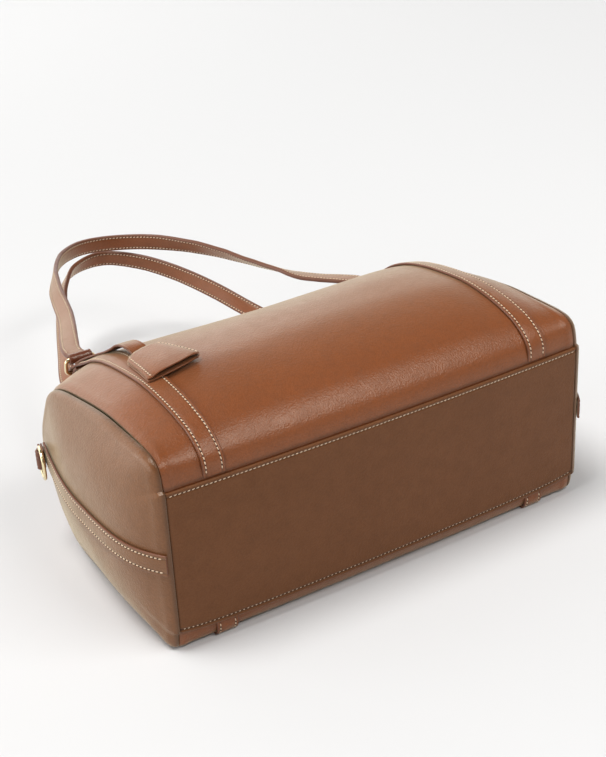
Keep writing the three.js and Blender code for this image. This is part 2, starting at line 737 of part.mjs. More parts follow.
function bellLayer(base, neckOpening, mouthOpening) {
  const layer = (height) => bellRows.map(({ along, half }) => bellAcross.map((share) => {
    const opening = (1 - share ** 4) * mix(neckOpening, mouthOpening, along);
    return bellPoint(along * bellLength, share * half * bandWidth, height + opening);
  }));
  return sheet(layer(base + bellLeather), layer(base));
}

const bellNeck = bellStrapThickness + 2 * seamGap;
piece('bell_back', bellLayer(0, 0, 0), brownLeather());
piece('bell_front', bellLayer(bellLeather + seamGap, bellNeck, bellOpening), brownLeather());

// The bell's strap: sewn between the layers, arched over the shoulder, and sewn to the band's tab

function bellStrap() {
  const tab = tabs[0];
  const { bar: ringBar, along: tabWay, out: tabOut } = tabFrame(tab);
  const onTab = (back) => {
    const p = ringBar.clone().addScaledVector(tabWay, -back)
      .addScaledVector(tabOut, loopRadius + bandThickness + seamGap);
    return V(-bandCentre, p.x, restHeight + p.y);
  };
  const inside = bellLeather + seamGap;
  const neck = bellPoint(0, 0, inside);
  const end = onTab(1.5 * bandReturn);
  const route = bellStrapRows.map(({ along, side, lift }) => {
    const p = neck.clone().lerp(end, along);
    const height = faceHeight(p.x, p.y) + bandLift + seamGap + lift * bellStrapWidth;
    return V(p.x + side * bellStrapWidth, p.y, height);
  });
  const overShoulder = [neck, ...route, end, onTab(0.8 * bandReturn)];
  const layer = (height) => [
    [-1, 1].map((k) => bellPoint(bellStrapTuck, (k * bellStrapWidth) / 2, inside + height)),
    [-1, 1].map((k) => bellPoint(0, (k * bellStrapWidth) / 2, inside + height)),
    ...overShoulder.slice(1).map((p, i) => {
      const tangent = (overShoulder[i + 2] ?? p).clone().sub(overShoulder[i]).normalize();
      const wide = V(1, 0, 0).addScaledVector(tangent, -tangent.x).normalize();
      const out = wide.clone().cross(tangent);
      return [-1, 1].map((k) => p.clone().addScaledVector(wide, (k * bellStrapWidth) / 2)
        .addScaledVector(out, height));
    }),
  ];
  return sheet(layer(bellStrapThickness), layer(0));
}

piece('bell_strap', bellStrap(), brownLeather());

// The bag stands in the frame with the middle of its resting face at the origin.
const restMiddle = 80; // from the bottom panel
const bag = new THREE.Group();
bag.position.y = -restMiddle;
bag.add(...meshes);

const model = new THREE.Group();
model.add(bag);
model.updateMatrixWorld(true);

export default model;
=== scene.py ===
# A small leather boston bag that lies on its back face, dressed around its construction model.
# Settings are in millimetres and degrees unless they say otherwise. Meshes are written in metres.

import math

import bmesh
import bpy
import numpy as np
from mathutils import Matrix, Vector, noise
from mathutils.bvhtree import BVHTree


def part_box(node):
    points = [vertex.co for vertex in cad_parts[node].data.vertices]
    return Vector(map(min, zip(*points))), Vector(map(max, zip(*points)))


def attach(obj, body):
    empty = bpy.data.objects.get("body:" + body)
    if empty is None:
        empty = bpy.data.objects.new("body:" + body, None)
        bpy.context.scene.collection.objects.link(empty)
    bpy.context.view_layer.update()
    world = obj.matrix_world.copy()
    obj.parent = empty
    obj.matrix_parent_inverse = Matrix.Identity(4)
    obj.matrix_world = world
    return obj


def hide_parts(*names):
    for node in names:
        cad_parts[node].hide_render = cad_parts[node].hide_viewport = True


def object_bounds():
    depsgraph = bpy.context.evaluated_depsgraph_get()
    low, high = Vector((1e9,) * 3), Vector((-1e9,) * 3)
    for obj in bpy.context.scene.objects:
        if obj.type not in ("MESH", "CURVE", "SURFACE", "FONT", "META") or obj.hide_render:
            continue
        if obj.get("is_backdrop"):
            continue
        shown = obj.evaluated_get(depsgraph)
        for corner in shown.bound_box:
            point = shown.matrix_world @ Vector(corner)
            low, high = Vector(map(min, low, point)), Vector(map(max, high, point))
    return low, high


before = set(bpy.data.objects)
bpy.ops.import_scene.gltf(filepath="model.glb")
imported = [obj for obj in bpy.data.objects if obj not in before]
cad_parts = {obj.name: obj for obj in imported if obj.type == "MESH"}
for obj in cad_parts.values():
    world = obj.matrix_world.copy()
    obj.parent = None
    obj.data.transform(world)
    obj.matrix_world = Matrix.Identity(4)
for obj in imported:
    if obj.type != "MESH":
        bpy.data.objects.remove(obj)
cadBox = [list(corner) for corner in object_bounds()]
mm = 0.001
print("frame loaded")


# Places read from the frame

def nodeBox(node):
    low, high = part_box(node)
    return np.array(low) / mm, np.array(high) / mm


def mergedCopy(node):
    bm = bmesh.new()
    bm.from_mesh(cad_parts[node].data)
    bmesh.ops.remove_doubles(bm, verts=bm.verts, dist=0.005 * mm)
    bm.normal_update()
    bm.verts.ensure_lookup_table()
    return bm


def spline(knots, values, places):
    # smooth curve through the values, a row for each knot
    gaps = np.diff(knots)[:, None]
    slopes = np.diff(values, axis=0) / gaps
    inner = (gaps[1:] * slopes[:-1] + gaps[:-1] * slopes[1:]) / (gaps[1:] + gaps[:-1])
    tangents = np.vstack([slopes[:1], inner, slopes[-1:]])
    k = np.clip(np.searchsorted(knots, places, side="right") - 1, 0, len(gaps) - 1)
    t = (places - knots[k])[:, None] / gaps[k]
    rise, ease = t ** 2 * (3 - 2 * t), gaps[k] * t * (1 - t)
    bend = ease * ((1 - t) * tangents[k] - t * tangents[k + 1])
    return (1 - rise) * values[k] + rise * values[k + 1] + bend


def unit(vectors):
    return vectors / np.linalg.norm(vectors, axis=-1, keepdims=True)


def lengthsAlong(points):
    return np.concatenate([[0], np.cumsum(np.linalg.norm(np.diff(points, axis=0), axis=1))])


def smoothStep(low, high, value):
    t = np.clip((value - low) / (high - low), 0, 1)
    return t * t * (3 - 2 * t)


def hump(value, middle, width):
    # 1 at the middle, fading out smoothly on both sides
    return np.exp(-((value - middle) / width) ** 2)


def edgeSpaced(low, high, step, edge, edgeStep):
    # places from low to high, closer together within one edge width of both ends
    fine = np.arange(0, edge, edgeStep)
    count = max(2, int(round((high - low - 2 * edge) / step)) + 1)
    return np.concatenate([low + fine, np.linspace(low + edge, high - edge, count), (high - fine)[::-1]])


bottomLow, bottomHigh = nodeBox("bottom_panel")
middleZ = (bottomLow[2] + bottomHigh[2]) / 2
bottomY = bottomLow[1]
endX = bottomHigh[0]
leatherWall = bottomHigh[1] - bottomLow[1]

settleSettings = {
    "drop": 6.0,           # how far the lower bottom seam sits under its construction line
    "endDrop": 0.45,       # share of that at the gussets
    "endReach": 16,
    "bow": 2.8,            # how far the bottom bows out halfway along
    "reach": 70,           # from the bottom panel up to where it fades
    "crown": 1.4,          # how far the middle of the upper face swells
    "crownBottom": (15, 70),     # distances from the bottom panel and from the zip where it sets in
    "crownZip": (0, 60),
    "endFall": 1.8,        # and how far its ends fall
    "endRound": 55,
}


def settled(points):
    # soft leather gives a little: the bottom bows out and its lower seam sinks towards the floor
    s = settleSettings
    x, y, z = np.moveaxis(np.asarray(points, float), -1, 0)
    fade = 1 - smoothStep(0, s["reach"], y - bottomY)
    seamZ = bottomLow[2]
    sink = np.interp(z, [0, seamZ, middleZ], [0, 1, 0])
    fromEnd = np.clip(endX - np.abs(x), 0, None)
    end = s["endDrop"] + (1 - s["endDrop"]) * (1 - np.exp(-fromEnd / s["endReach"]))
    bow = s["bow"] * np.clip(1 - (x / endX) ** 2, 0, 1) * np.clip(z / seamZ, 0, 1)
    return np.stack([x, y - bow * fade, z - s["drop"] * sink * end * fade], axis=-1)


class FaceSkin:
    # smooth outer surface of a face: x along the bag, v the distance from the edge behind the bottom panel

    def __init__(self, node, side):
        self.side = side
        lines = self.outerLines(node)
        chords = np.linalg.norm(np.diff(lines, axis=1), axis=2).mean(axis=0)
        self.knots = np.concatenate([[0], np.cumsum(chords)])
        self.length = self.knots[-1]
        self.xs = np.linspace(-endX, endX, 301)
        self.vs = np.linspace(0, self.length, 301)
        across = np.stack([spline(self.knots, column, self.vs) for column in lines])
        places = lines[:, 0, 0]
        smooth = np.stack([spline(places, across[:, j], self.xs) for j in range(len(self.vs))], axis=1)
        self.points = settled(smooth)
        self.findNormals()
        if side > 0:
            self.crown()
            self.findNormals()

    def crown(self):
        # the upper face is a little fuller in the middle and rounds over towards the gussets
        s = settleSettings
        nearEnd = 1 - np.clip((endX - np.abs(self.xs)) / s["endRound"], 0, 1)
        rise = s["crown"] - (s["crown"] + s["endFall"]) * nearEnd ** 2
        fade = smoothStep(*s["crownBottom"], self.vs) * smoothStep(*s["crownZip"], self.length - self.vs)
        self.points = self.points + self.normals * (rise[:, None] * fade)[..., None]

    def outerLines(self, node):
        bm = mergedCopy(node)
        found = set()
        for face in bm.faces:
            centre = face.calc_center_median()
            radial = Vector((0, centre.y, centre.z - middleZ * mm)).normalized()
            if face.normal.dot(radial) > 0.3:
                found.update(vert.index for vert in face.verts)
        points = np.array([bm.verts[i].co for i in sorted(found)]) / mm
        bm.free()
        columns = []
        for x in np.unique(np.round(points[:, 0], 2)):
            column = points[np.abs(points[:, 0] - x) < 0.01]
            turn = np.arctan2(np.abs(column[:, 2] - middleZ), -column[:, 1])
            columns.append(column[np.argsort(turn)])
        return np.stack(columns)

    def findNormals(self):
        alongX = np.gradient(self.points, axis=0)
        alongV = np.gradient(self.points, axis=1)
        self.normals = unit(np.cross(alongX, alongV) * self.side)

    def look(self, table, x, v):
        i = np.clip((x - self.xs[0]) / (self.xs[1] - self.xs[0]), 0, len(self.xs) - 1.001)
        j = np.clip((v - self.vs[0]) / (self.vs[1] - self.vs[0]), 0, len(self.vs) - 1.001)
        a, b = i.astype(int), j.astype(int)
        s, t = (i - a)[..., None], (j - b)[..., None]
        return ((1 - s) * (1 - t) * table[a, b] + s * (1 - t) * table[a + 1, b]
                + (1 - s) * t * table[a, b + 1] + s * t * table[a + 1, b + 1])

    def at(self, x, v, lift=0.0):
        x, v = np.broadcast_arrays(np.asarray(x, float), np.asarray(v, float))
        return self.look(self.points, x, v) + self.look(self.normals, x, v) * np.asarray(lift)[..., None]

    def normalAt(self, x, v):
        x, v = np.broadcast_arrays(np.asarray(x, float), np.asarray(v, float))
        return unit(self.look(self.normals, x, v))


frontSkin = FaceSkin("front_panel", 1)
backSkin = FaceSkin("back_panel", -1)
print("faces read:", frontSkin.length, backSkin.length)


# Meshes from grids

def gridShape(points, closed=False, capped=False, bands=None, shade=None):
    # a grid of points as a surface. bands gives a material for each strip between two rows of points,
    # closed joins the last column of each row to the first, and capped fills both ends
    points = np.asarray(points)
    rows, columns = points.shape[:2]
    bm = bmesh.new()
    bmesh.ops.create_grid(bm, x_segments=rows - 1, y_segments=columns - 1, size=1)
    layer = bm.verts.layers.float.new("shade")
    if bands is not None:
        for face in bm.faces:
            centre = face.calc_center_median()
            face.material_index = int(bands[int((centre.y + 1) / 2 * (columns - 1))])
    for vert in bm.verts:
        i = round((vert.co.x + 1) / 2 * (rows - 1))
        j = round((vert.co.y + 1) / 2 * (columns - 1))
        vert.co = Vector(points[i, j]) * mm
        if shade is not None:
            vert[layer] = float(shade[i, j])
    if closed:
        bmesh.ops.remove_doubles(bm, verts=bm.verts, dist=0.002 * mm)
    if capped:
        bmesh.ops.holes_fill(bm, edges=[edge for edge in bm.edges if edge.is_boundary], sides=0)
    if closed:
        bmesh.ops.recalc_face_normals(bm, faces=bm.faces)
    return bm


def faceOutward(bm, outward):
    bm.normal_update()
    bm.faces.ensure_lookup_table()
    face = bm.faces[len(bm.faces) // 2 + 1]
    if face.normal.dot(Vector(outward)) < 0:
        bmesh.ops.reverse_faces(bm, faces=bm.faces)


def addPiece(name, bm, materials, body="bag", replaced=(), sharpAngle=40):
    for face in bm.faces:
        face.smooth = True
    for edge in bm.edges:
        if len(edge.link_faces) == 2 and edge.calc_face_angle(0) > math.radians(sharpAngle):
            edge.smooth = False
    mesh = bpy.data.meshes.new(name)
    bm.to_mesh(mesh)
    bm.free()
    for material in materials:
        mesh.materials.append(material)
    piece = bpy.data.objects.new(name, mesh)
    bpy.context.scene.collection.objects.link(piece)
    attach(piece, body)
    if replaced:
        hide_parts(*replaced)
    return piece


def pieceName(start, ending):
    return start + "".join(word.capitalize() for word in ending.split("_"))


def thicken(piece, thickness):
    modifier = piece.modifiers.new("wall", "SOLIDIFY")
    modifier.thickness = thickness * mm
    modifier.offset = -1
    modifier.use_even_offset = False
    return modifier


# Leather strips: a closed profile of (across, height) points carried along a route

rowWidth = 0.5     # of the groove that a row of stitches lies in


def stripProfile(width, thickness, stitchInset, bothFaces=False, groove=0.25, edgeRound=0.5):
    # returns the profile and a material for each side of it, 1 where the painted edge is
    half, r = width / 2, min(edgeRound, thickness * 0.45)
    turn = np.radians([0, 30, 60, 90])
    corner = np.stack([np.cos(turn), np.sin(turn)], axis=1) * r
    rightTop = corner + [half - r, thickness - r]
    rightLow = (corner * [1, -1])[::-1] + [half - r, r]
    near = half - stitchInset
    flat = np.array([near + 0.9, near + 0.45, near, near - 0.45, near - 0.9, (near - 0.9) / 2])
    across = np.concatenate([flat, [0], -flat[::-1]])
    dip = groove * hump(np.abs(across), near, rowWidth)
    top = np.stack([across, thickness - dip], axis=1)
    low = np.stack([across[::-1], dip[::-1] if bothFaces else 0 * across], axis=1)
    left = np.concatenate([rightTop[::-1], rightLow[::-1]]) * [-1, 1]
    profile = np.concatenate([rightLow, rightTop, top, left, low])
    isEdge = lambda p: abs(p[0]) > half - r - 1e-6
    sides = [1 if isEdge(p) and isEdge(q) and p[0] * q[0] > 0 else 0
             for p, q in zip(profile, np.roll(profile, -1, axis=0))]
    return profile, sides


def rowShade(profile, base, inset, amount, topOnly=True):
    # darkening along the rows of stitches, for each section and each place of the profile
    row = amount * hump(np.abs(profile[:, 0]), inset, rowWidth)
    if topOnly:
        row = row * (profile[:, 1] > 1)
    return np.broadcast_to(row, base.shape[:2])


def stripShape(base, up, profile, sides, ring=False, shade=None):
    # base and up hold a point and a direction for each section and each place of the profile
    points = base + up * profile[None, :, 1, None]
    points = np.concatenate([points, points[:, :1]], axis=1)
    if shade is not None:
        shade = np.concatenate([shade, shade[:, :1]], axis=1)
    if ring:
        points = np.concatenate([points, points[:1]], axis=0)
    return gridShape(points, closed=True, capped=not ring, bands=sides, shade=shade)


def straightBase(centres, across, up, profile):
    # base points and directions of a strip whose sections are straight
    base = centres[:, None, :] + across[:, None, :] * profile[None, :, 0, None]
    return base, np.broadcast_to(up[:, None, :], base.shape)


# Stitches

stitchSettings = {
    "pitch": 2.8,
    "length": 2.1,
    "thickness": 0.85,
    "slant": 14,     # degrees away from the row
    "strapSlant": 10,
    "bed": 0.05,     # how far a row lies under the top of a strap
    "sink": 0.12,
    # each hole is drawn as a small dark disc, painted shade for the inside of the hole
    "hole": 0.5,     # radius of the hole between two stitches
    "holeRise": 0.12,
}


def stitchTemplate():
    bm = bmesh.new()
    bmesh.ops.create_uvsphere(bm, u_segments=6, v_segments=5, radius=1,
                              matrix=Matrix.Rotation(math.pi / 2, 4, "Y"))
    points = np.array([vert.co for vert in bm.verts])
    faces = [[vert.index for vert in face.verts] for face in bm.faces]
    bm.free()
    return points, faces


stitchPoints, stitchFaces = stitchTemplate()


class StitchRows:
    # rows of stitches joined in one piece, with dark discs of painted shade for the holes between them

    def __init__(self):
        self.points, self.faces, self.marks = [], [], []

    def row(self, points, ups, slant=stitchSettings["slant"]):
        # one stitch after another along a route, with the directions up from the leather
        s = stitchSettings
        slant = math.radians(slant)
        lengths = lengthsAlong(points)
        count = int(lengths[-1] / s["pitch"])
        places = (np.arange(2 * count - 1) + 1) * lengths[-1] / (2 * count)
        spots = spline(lengths, points, places)
        way = unit(spline(lengths, points, places + 0.1) - spline(lengths, points, places - 0.1))
        side = unit(np.cross(unit(spline(lengths, ups, places)), way))
        up = np.cross(way, side)
        turned = way * math.cos(slant) + side * math.sin(slant)
        aside = side * math.cos(slant) - way * math.sin(slant)
        stitch = np.array([s["length"], s["thickness"], s["thickness"]]) / 2
        hole = np.array([s["hole"], s["hole"], s["holeRise"]])
        for k, spot in enumerate(spots):
            # stitches take turns with holes, drawn as dark discs of painted shade
            mark = k % 2
            axes = np.stack([turned[k], aside[k], up[k]])
            middle = spot - up[k] * s["sink"] * (1 - mark)
            start = len(self.points) * len(stitchPoints)
            self.points.append(middle + (stitchPoints * (hole if mark else stitch)) @ axes)
            self.faces += [[start + index for index in face] for face in stitchFaces]
            self.marks += [mark] * len(stitchFaces)

    def piece(self, name):
        mesh = bpy.data.meshes.new(name)
        mesh.from_pydata(np.concatenate(self.points) * mm, [], self.faces)
        bm = bmesh.new()
        bm.from_mesh(mesh)
        bpy.data.meshes.remove(mesh)
        for face, mark in zip(bm.faces, self.marks):
            face.material_index = mark
        addPiece(name, bm, [cream, holePaintedShade], sharpAngle=100)


# Shader nodes

class Value:
    # wraps a socket, so that shader maths is written as sums and products

    def __init__(self, shader, socket):
        self.shader, self.socket = shader, socket

    def combine(self, operation, first, second):
        return self.shader.node("ShaderNodeMath", {"operation": operation}, {0: first, 1: second})

    def __add__(self, other):
        return self.combine("ADD", self, other)

    def __sub__(self, other):
        return self.combine("SUBTRACT", self, other)

    def __rsub__(self, other):
        return self.combine("SUBTRACT", other, self)

    def __mul__(self, other):
        return self.combine("MULTIPLY", self, other)

    __radd__ = __add__
    __rmul__ = __mul__


class Shader:
    # a material, or the world, and its nodes

    def __init__(self, name, kind=bpy.data.materials, surface="Principled BSDF"):
        self.owner = kind.new(name)
        self.owner.use_nodes = True
        self.nodes = self.owner.node_tree.nodes
        self.links = self.owner.node_tree.links
        self.surface = self.nodes[surface]

    def node(self, kind, settings=None, inputs=None, output=0):
        made = self.nodes.new(kind)
        for key, value in (settings or {}).items():
            setattr(made, key, value)
        for key, value in (inputs or {}).items():
            self.feed(made.inputs[key], value)
        return Value(self, made.outputs[output])

    def feed(self, socket, value):
        if isinstance(value, Value):
            self.links.new(value.socket, socket)
        else:
            socket.default_value = value

    def finish(self, **inputs):
        for key, value in inputs.items():
            self.feed(self.surface.inputs[key.replace("_", " ")], value)
        return self.owner

    def coordinates(self):
        return self.node("ShaderNodeTexCoord", output="Object")

    def noise(self, vector, scale, detail=2.0, roughness=0.5):
        return self.node("ShaderNodeTexNoise", {}, {"Vector": vector, "Scale": scale, "Detail": detail,
                                                    "Roughness": roughness}, output="Fac")

    def cells(self, vector, scale):
        return self.node("ShaderNodeTexVoronoi", {}, {"Vector": vector, "Scale": scale}, output="Distance")

    def wave(self, vector, scale, direction, distortion=0.0):
        return self.node("ShaderNodeTexWave", {"bands_direction": direction},
                         {"Vector": vector, "Scale": scale, "Distortion": distortion}, output="Fac")

    def mixColour(self, factor, first, second):
        return self.node("ShaderNodeMix", {"data_type": "RGBA"}, {0: factor, 6: first, 7: second}, output=2)

    def span(self, value, low, high, toLow=0.0, toHigh=1.0):
        return self.node("ShaderNodeMapRange", {"clamp": True}, {
            "Value": value, "From Min": low, "From Max": high, "To Min": toLow, "To Max": toHigh})

    def attribute(self, name):
        return self.node("ShaderNodeAttribute", {"attribute_name": name}, output="Fac")

    def twoTone(self, factor, name):
        return self.mixColour(factor, *[rgba(colour) for colour in tones[name]])

    def bump(self, height, strength, distance, normal=None):
        inputs = {"Height": height, "Strength": strength, "Distance": distance}
        if normal is not None:
            inputs["Normal"] = normal
        return self.node("ShaderNodeBump", {}, inputs)


def rgba(colour, factor=1.0):
    return (*[channel * factor for channel in colour], 1)


leatherSettings = {
    "brown": (0.232, 0.062, 0.0155),
    # partly the gussets' own more olive tone, partly painted shade darker than the faces' brown
    "gussetToneAndShade": (0.19, 0.068, 0.021),
    # darker copy of the brown: painted shade on the upright bottom panel
    "bottomShadedBrown": (0.16, 0.057, 0.019),
    "darkBrown": (0.15, 0.04, 0.018),
    "clouds": 14,        # per metre, as the next two
    "mottle": 130,
    "grain": 930,
    "palerGain": (1.1, 1.14, 1.2),      # of the palest clouds
    "darker": {"clouds": 0.9, "mottle": 0.8, "shade": 0.22, "grain": 0.45},
    "roughness": (0.3, 0.42),
    "grainHeight": 0.00032,
}


def leather(name, colour, roughness=None, shine=0.5, bloom=0.5):
    s = leatherSettings
    shader = Shader(name)
    place = shader.coordinates()
    clouds = shader.noise(place, s["clouds"], 3, 0.55)
    mottle = shader.noise(place, s["mottle"], 2, 0.6)
    grain = shader.cells(place, s["grain"])
    pores = shader.noise(place, s["grain"] * 0.55, 2, 0.6)
    shade = shader.attribute("shade")
    darker = {key: rgba(colour, factor) for key, factor in s["darker"].items()}
    paler = rgba([channel * gain for channel, gain in zip(colour, s["palerGain"])])
    tone = shader.mixColour(clouds, darker["clouds"], paler)
    tone = shader.mixColour(shader.span(mottle, 0.35, 0.7, 0, 0.5), tone, darker["mottle"])
    tone = shader.mixColour(shader.span(shade, 0, 1, 0, 0.85), tone, darker["shade"])
    tone = shader.mixColour(shader.span(grain, 0.35, 0.75, 0, 0.22), tone, darker["grain"])
    low, high = roughness or s["roughness"]
    rough = shader.span(mottle * 0.5 + pores * 0.5, 0.3, 0.7, low, high)
    height = grain * 0.6 + pores * 0.7
    normal = shader.bump(height, 0.55, s["grainHeight"], shader.bump(mottle, 0.25, 0.0004))
    return shader.finish(Base_Color=tone, Roughness=rough, Normal=normal, Specular_IOR_Level=shine,
                         Specular_Tint=rgba((1, 0.97, 0.86)), Sheen_Weight=bloom, Sheen_Roughness=0.4,
                         Sheen_Tint=rgba((1, 0.96, 0.66)))


tones = {
    # darker and lighter colour of each small material
    # edge paint, whose colour is also painted shade on the underside of the bell strap
    "paint": ((0.13, 0.044, 0.018), (0.18, 0.06, 0.025)),
    "thread": ((0.62, 0.43, 0.27), (0.86, 0.70, 0.52)),
    # painted shade for the inside of the needle holes
    "hole": ((0.03, 0.011, 0.006), (0.06, 0.022, 0.011)),
    "gold": ((0.80, 0.66, 0.38), (0.90, 0.79, 0.52)),
    "tape": ((0.05, 0.027, 0.016), (0.11, 0.062, 0.038)),
}


def edgePaintAndShade():
    # edge paint; on the bell strap's underside it stands as painted shade
    shader = Shader("edgePaintAndShade")
    place = shader.coordinates()
    wear = shader.noise(place, 260, 3, 0.6)
    tone = shader.twoTone(wear, "paint")
    normal = shader.bump(shader.noise(place, 900, 2, 0.5), 0.4, 0.00008)
    return shader.finish(Base_Color=tone, Roughness=shader.span(wear, 0.3, 0.7, 0.3, 0.5), Normal=normal)


def thread():
    shader = Shader("thread")
    place = shader.coordinates()
    ply = shader.wave(place, 520, "DIAGONAL", 1.0)
    fuzz = shader.noise(place, 1400, 2, 0.6)
    tone = shader.twoTone(fuzz, "thread")
    normal = shader.bump(ply * 0.6 + fuzz * 0.4, 0.6, 0.00012)
    return shader.finish(Base_Color=tone, Roughness=shader.span(fuzz, 0, 1, 0.5, 0.7), Normal=normal)


def holeShade():
    # dark discs that stand for the shade inside the needle holes: painted shade
    shader = Shader("holePaintedShade")
    tone = shader.twoTone(shader.noise(shader.coordinates(), 500), "hole")
    return shader.finish(Base_Color=tone, Roughness=0.7)


def paleGold():
    shader = Shader("paleGold")
    place = shader.coordinates()
    clouds = shader.noise(place, 90, 3, 0.6)
    scratches = shader.noise(place, 1500, 2, 0.7)
    tone = shader.twoTone(clouds, "gold")
    rough = shader.span(clouds * 0.6 + scratches * 0.4, 0.3, 0.7, 0.14, 0.26)
    normal = shader.bump(scratches, 0.12, 0.00003)
    return shader.finish(Base_Color=tone, Roughness=rough, Metallic=1.0, Normal=normal)


def zipCloth():
    shader = Shader("zipCloth")
    place = shader.coordinates()
    warp, weft = (shader.wave(place, 480, direction) for direction in "XZ")
    fuzz = shader.noise(place, 900, 2, 0.6)
    tone = shader.twoTone(warp * weft, "tape")
    normal = shader.bump(warp + weft + fuzz, 0.5, 0.0001)
    return shader.finish(Base_Color=tone, Roughness=shader.span(fuzz, 0, 1, 0.7, 0.9), Normal=normal)


brownLeather = leather("brownLeather", leatherSettings["brown"])
# gussets and their straps: own tone and painted shade, in a darker copy of the brown
gussetLeatherToneAndShade = leather("gussetLeatherToneAndShade", leatherSettings["gussetToneAndShade"], None, 0.5, 0.4)
# the bottom panel's leather: painted shade in a darker copy of the brown
bottomShadedLeather = leather("bottomShadedLeather", leatherSettings["bottomShadedBrown"], (0.38, 0.5), 0.22, 0.12)
darkLeather = leather("darkLeather", leatherSettings["darkBrown"], (0.2, 0.3), 0.6, 0.1)
paint = edgePaintAndShade()
cream = thread()
holePaintedShade = holeShade()
gold = paleGold()
tapeCloth = zipCloth()
print("materials made")


# Camera, floor and light

cameraSettings = {
    "place": (-0.43913, -0.72438, 0.54275),   # metres
    "azimuth": -30.68,
    "elevation": 27.47,
    "roll": -3.19,
    "lens": 70.51,
}


def addCamera():
    s = cameraSettings
    azimuth, elevation, roll = (math.radians(s[key]) for key in ("azimuth", "elevation", "roll"))
    level = Vector((math.sin(azimuth), -math.cos(azimuth), 0))
    back = level * math.cos(elevation) + Vector((0, 0, math.sin(elevation)))
    right = (-back).cross(Vector((0, 0, 1))).normalized()
    up = right.cross(-back)
    turnedRight = math.cos(roll) * right + math.sin(roll) * up
    turnedUp = math.cos(roll) * up - math.sin(roll) * right
    data = bpy.data.cameras.new("camera")
    data.lens, data.sensor_width, data.clip_start = s["lens"], 36, 0.01
    camera = bpy.data.objects.new("camera", data)
    turn = Matrix((turnedRight, turnedUp, back)).transposed().to_4x4()
    camera.matrix_world = Matrix.Translation(s["place"]) @ turn
    bpy.context.scene.collection.objects.link(camera)
    bpy.context.scene.camera = camera


lightSettings = {
    "ceiling": 0.1,              # brightness of the room above the horizon
    "horizon": 1.25,
    "leftShare": 0.35,           # how much brighter the room is on the left
    "backShare": 0.45,           # and behind the bag
    "horizonFade": (0.12, 0.45), # heights of a direction between which it darkens
    "sun": {"toward": (-0.3, 0.12, 1.0), "power": 2.2, "angle": 28, "colour": (1.0, 0.985, 0.965)},
    "floorReach": 30,            # metres
    "softboxes": {
        # name: place, aim (metres), size (metres), power (watts), colour
        "lipSoftbox": ((0.45, -0.95, 1.45), (-0.1, -0.05, 0.1), (1.1, 0.5), 13, (1.0, 0.985, 0.965)),
        "leftSoftbox": ((-1.8, 0.8, 0.75), (-0.1, 0, 0.05), (1.8, 0.8), 13, (1.0, 0.985, 0.96)),
        "backSoftbox": ((0.0, 2.0, 1.0), (0, 0.1, 0.1), (2.2, 0.6), 9, (1.0, 0.985, 0.96)),
        "rightFill": ((1.9, 0.6, 0.8), (0.05, 0, 0.05), (1.2, 1.0), 1.5, (1.0, 0.98, 0.96)),
    },
    "floor": (0.73, 0.736, 0.745),
}


def addLight(name, kind, place, aim, power, colour):
    data = bpy.data.lights.new(name, kind)
    data.energy, data.color = power, colour
    light = bpy.data.objects.new(name, data)
    light.location = place
    light.rotation_euler = (Vector(aim) - Vector(place)).to_track_quat("-Z", "Y").to_euler()
    light.visible_camera = False
    bpy.context.scene.collection.objects.link(light)
    return data


def addStudio():
    s = lightSettings
    room = Shader("studio", bpy.data.worlds, "Background")
    direction = room.node("ShaderNodeTexCoord", output="Generated")
    x, y, z = (room.node("ShaderNodeSeparateXYZ", {}, {"Vector": direction}, output=axis) for axis in "XYZ")
    strength = room.span(z, *s["horizonFade"], s["horizon"], s["ceiling"])
    strength = strength * (1 - x * s["leftShare"] + y * s["backShare"])
    bpy.context.scene.world = room.finish(Color=(1, 1, 1, 1), Strength=strength)
    sun = s["sun"]
    sunData = addLight("sun", "SUN", sun["toward"], (0, 0, 0), sun["power"], sun["colour"])
    sunData.angle = math.radians(sun["angle"])
    for name, (place, aim, size, power, colour) in s["softboxes"].items():
        box = addLight(name, "AREA", place, aim, power, colour)
        box.shape, box.size, box.size_y = "RECTANGLE", *size
    bm = bmesh.new()
    bmesh.ops.create_grid(bm, x_segments=1, y_segments=1, size=s["floorReach"])
    mesh = bpy.data.meshes.new("floor")
    bm.to_mesh(mesh)
    bm.free()
    floor = bpy.data.objects.new("floor", mesh)
    bpy.context.scene.collection.objects.link(floor)
    mesh.materials.append(Shader("floor").finish(Base_Color=rgba(s["floor"]), Roughness=0.9,
                                                 Specular_IOR_Level=0.1))
    floor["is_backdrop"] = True
    bpy.context.scene.view_settings.view_transform = "Standard"


addCamera()
addStudio()
print("camera and studio made")


# Face panels

panelSettings = {
    "step": 3.0,
    "seamEdge": 9.0,       # finer stretch beside a gusset seam
    "seamStep": 0.75,
    "seamRoll": 1.0,       # rounding of the leather into a gusset seam
    "seamPillow": (0.5, 4.5, 2.6),      # height, distance from the seam and width
    "seamPucker": (0.16, 4.0, 3.2),
    "puckerScale": 0.16,
    "seamShade": (0.7, 0.9),            # amount and width
    "bottomShade": (0.6, 1.4),
    "bandShade": (0.45, 0.9),
    "zipRoll": 1.0,
    "wall": 1.3,
    "bottomFine": 14,      # stretches with a finer grid
    "zipFine": 8,
    "rows": 90,
    "waves": 0.45,
    "waveScale": 0.022,
    "calm": {"seam": (6, 30), "bottom": (8, 30), "zip": (6, 26), "band": (8, 26)},   # waves set in
}

firstLine = 2       # line of a face along which the bottom panel's edge ends
lastLine = 14       # line up to which a band is sewn on
bandEdge = 7.5      # from the middle of a band to the shade beside it


def rollDrop(distance, radius):
    # how far a rounded edge has fallen at a distance from its end
    inside = np.clip(radius - distance, 0, radius)
    return radius - np.sqrt(radius ** 2 - inside ** 2)


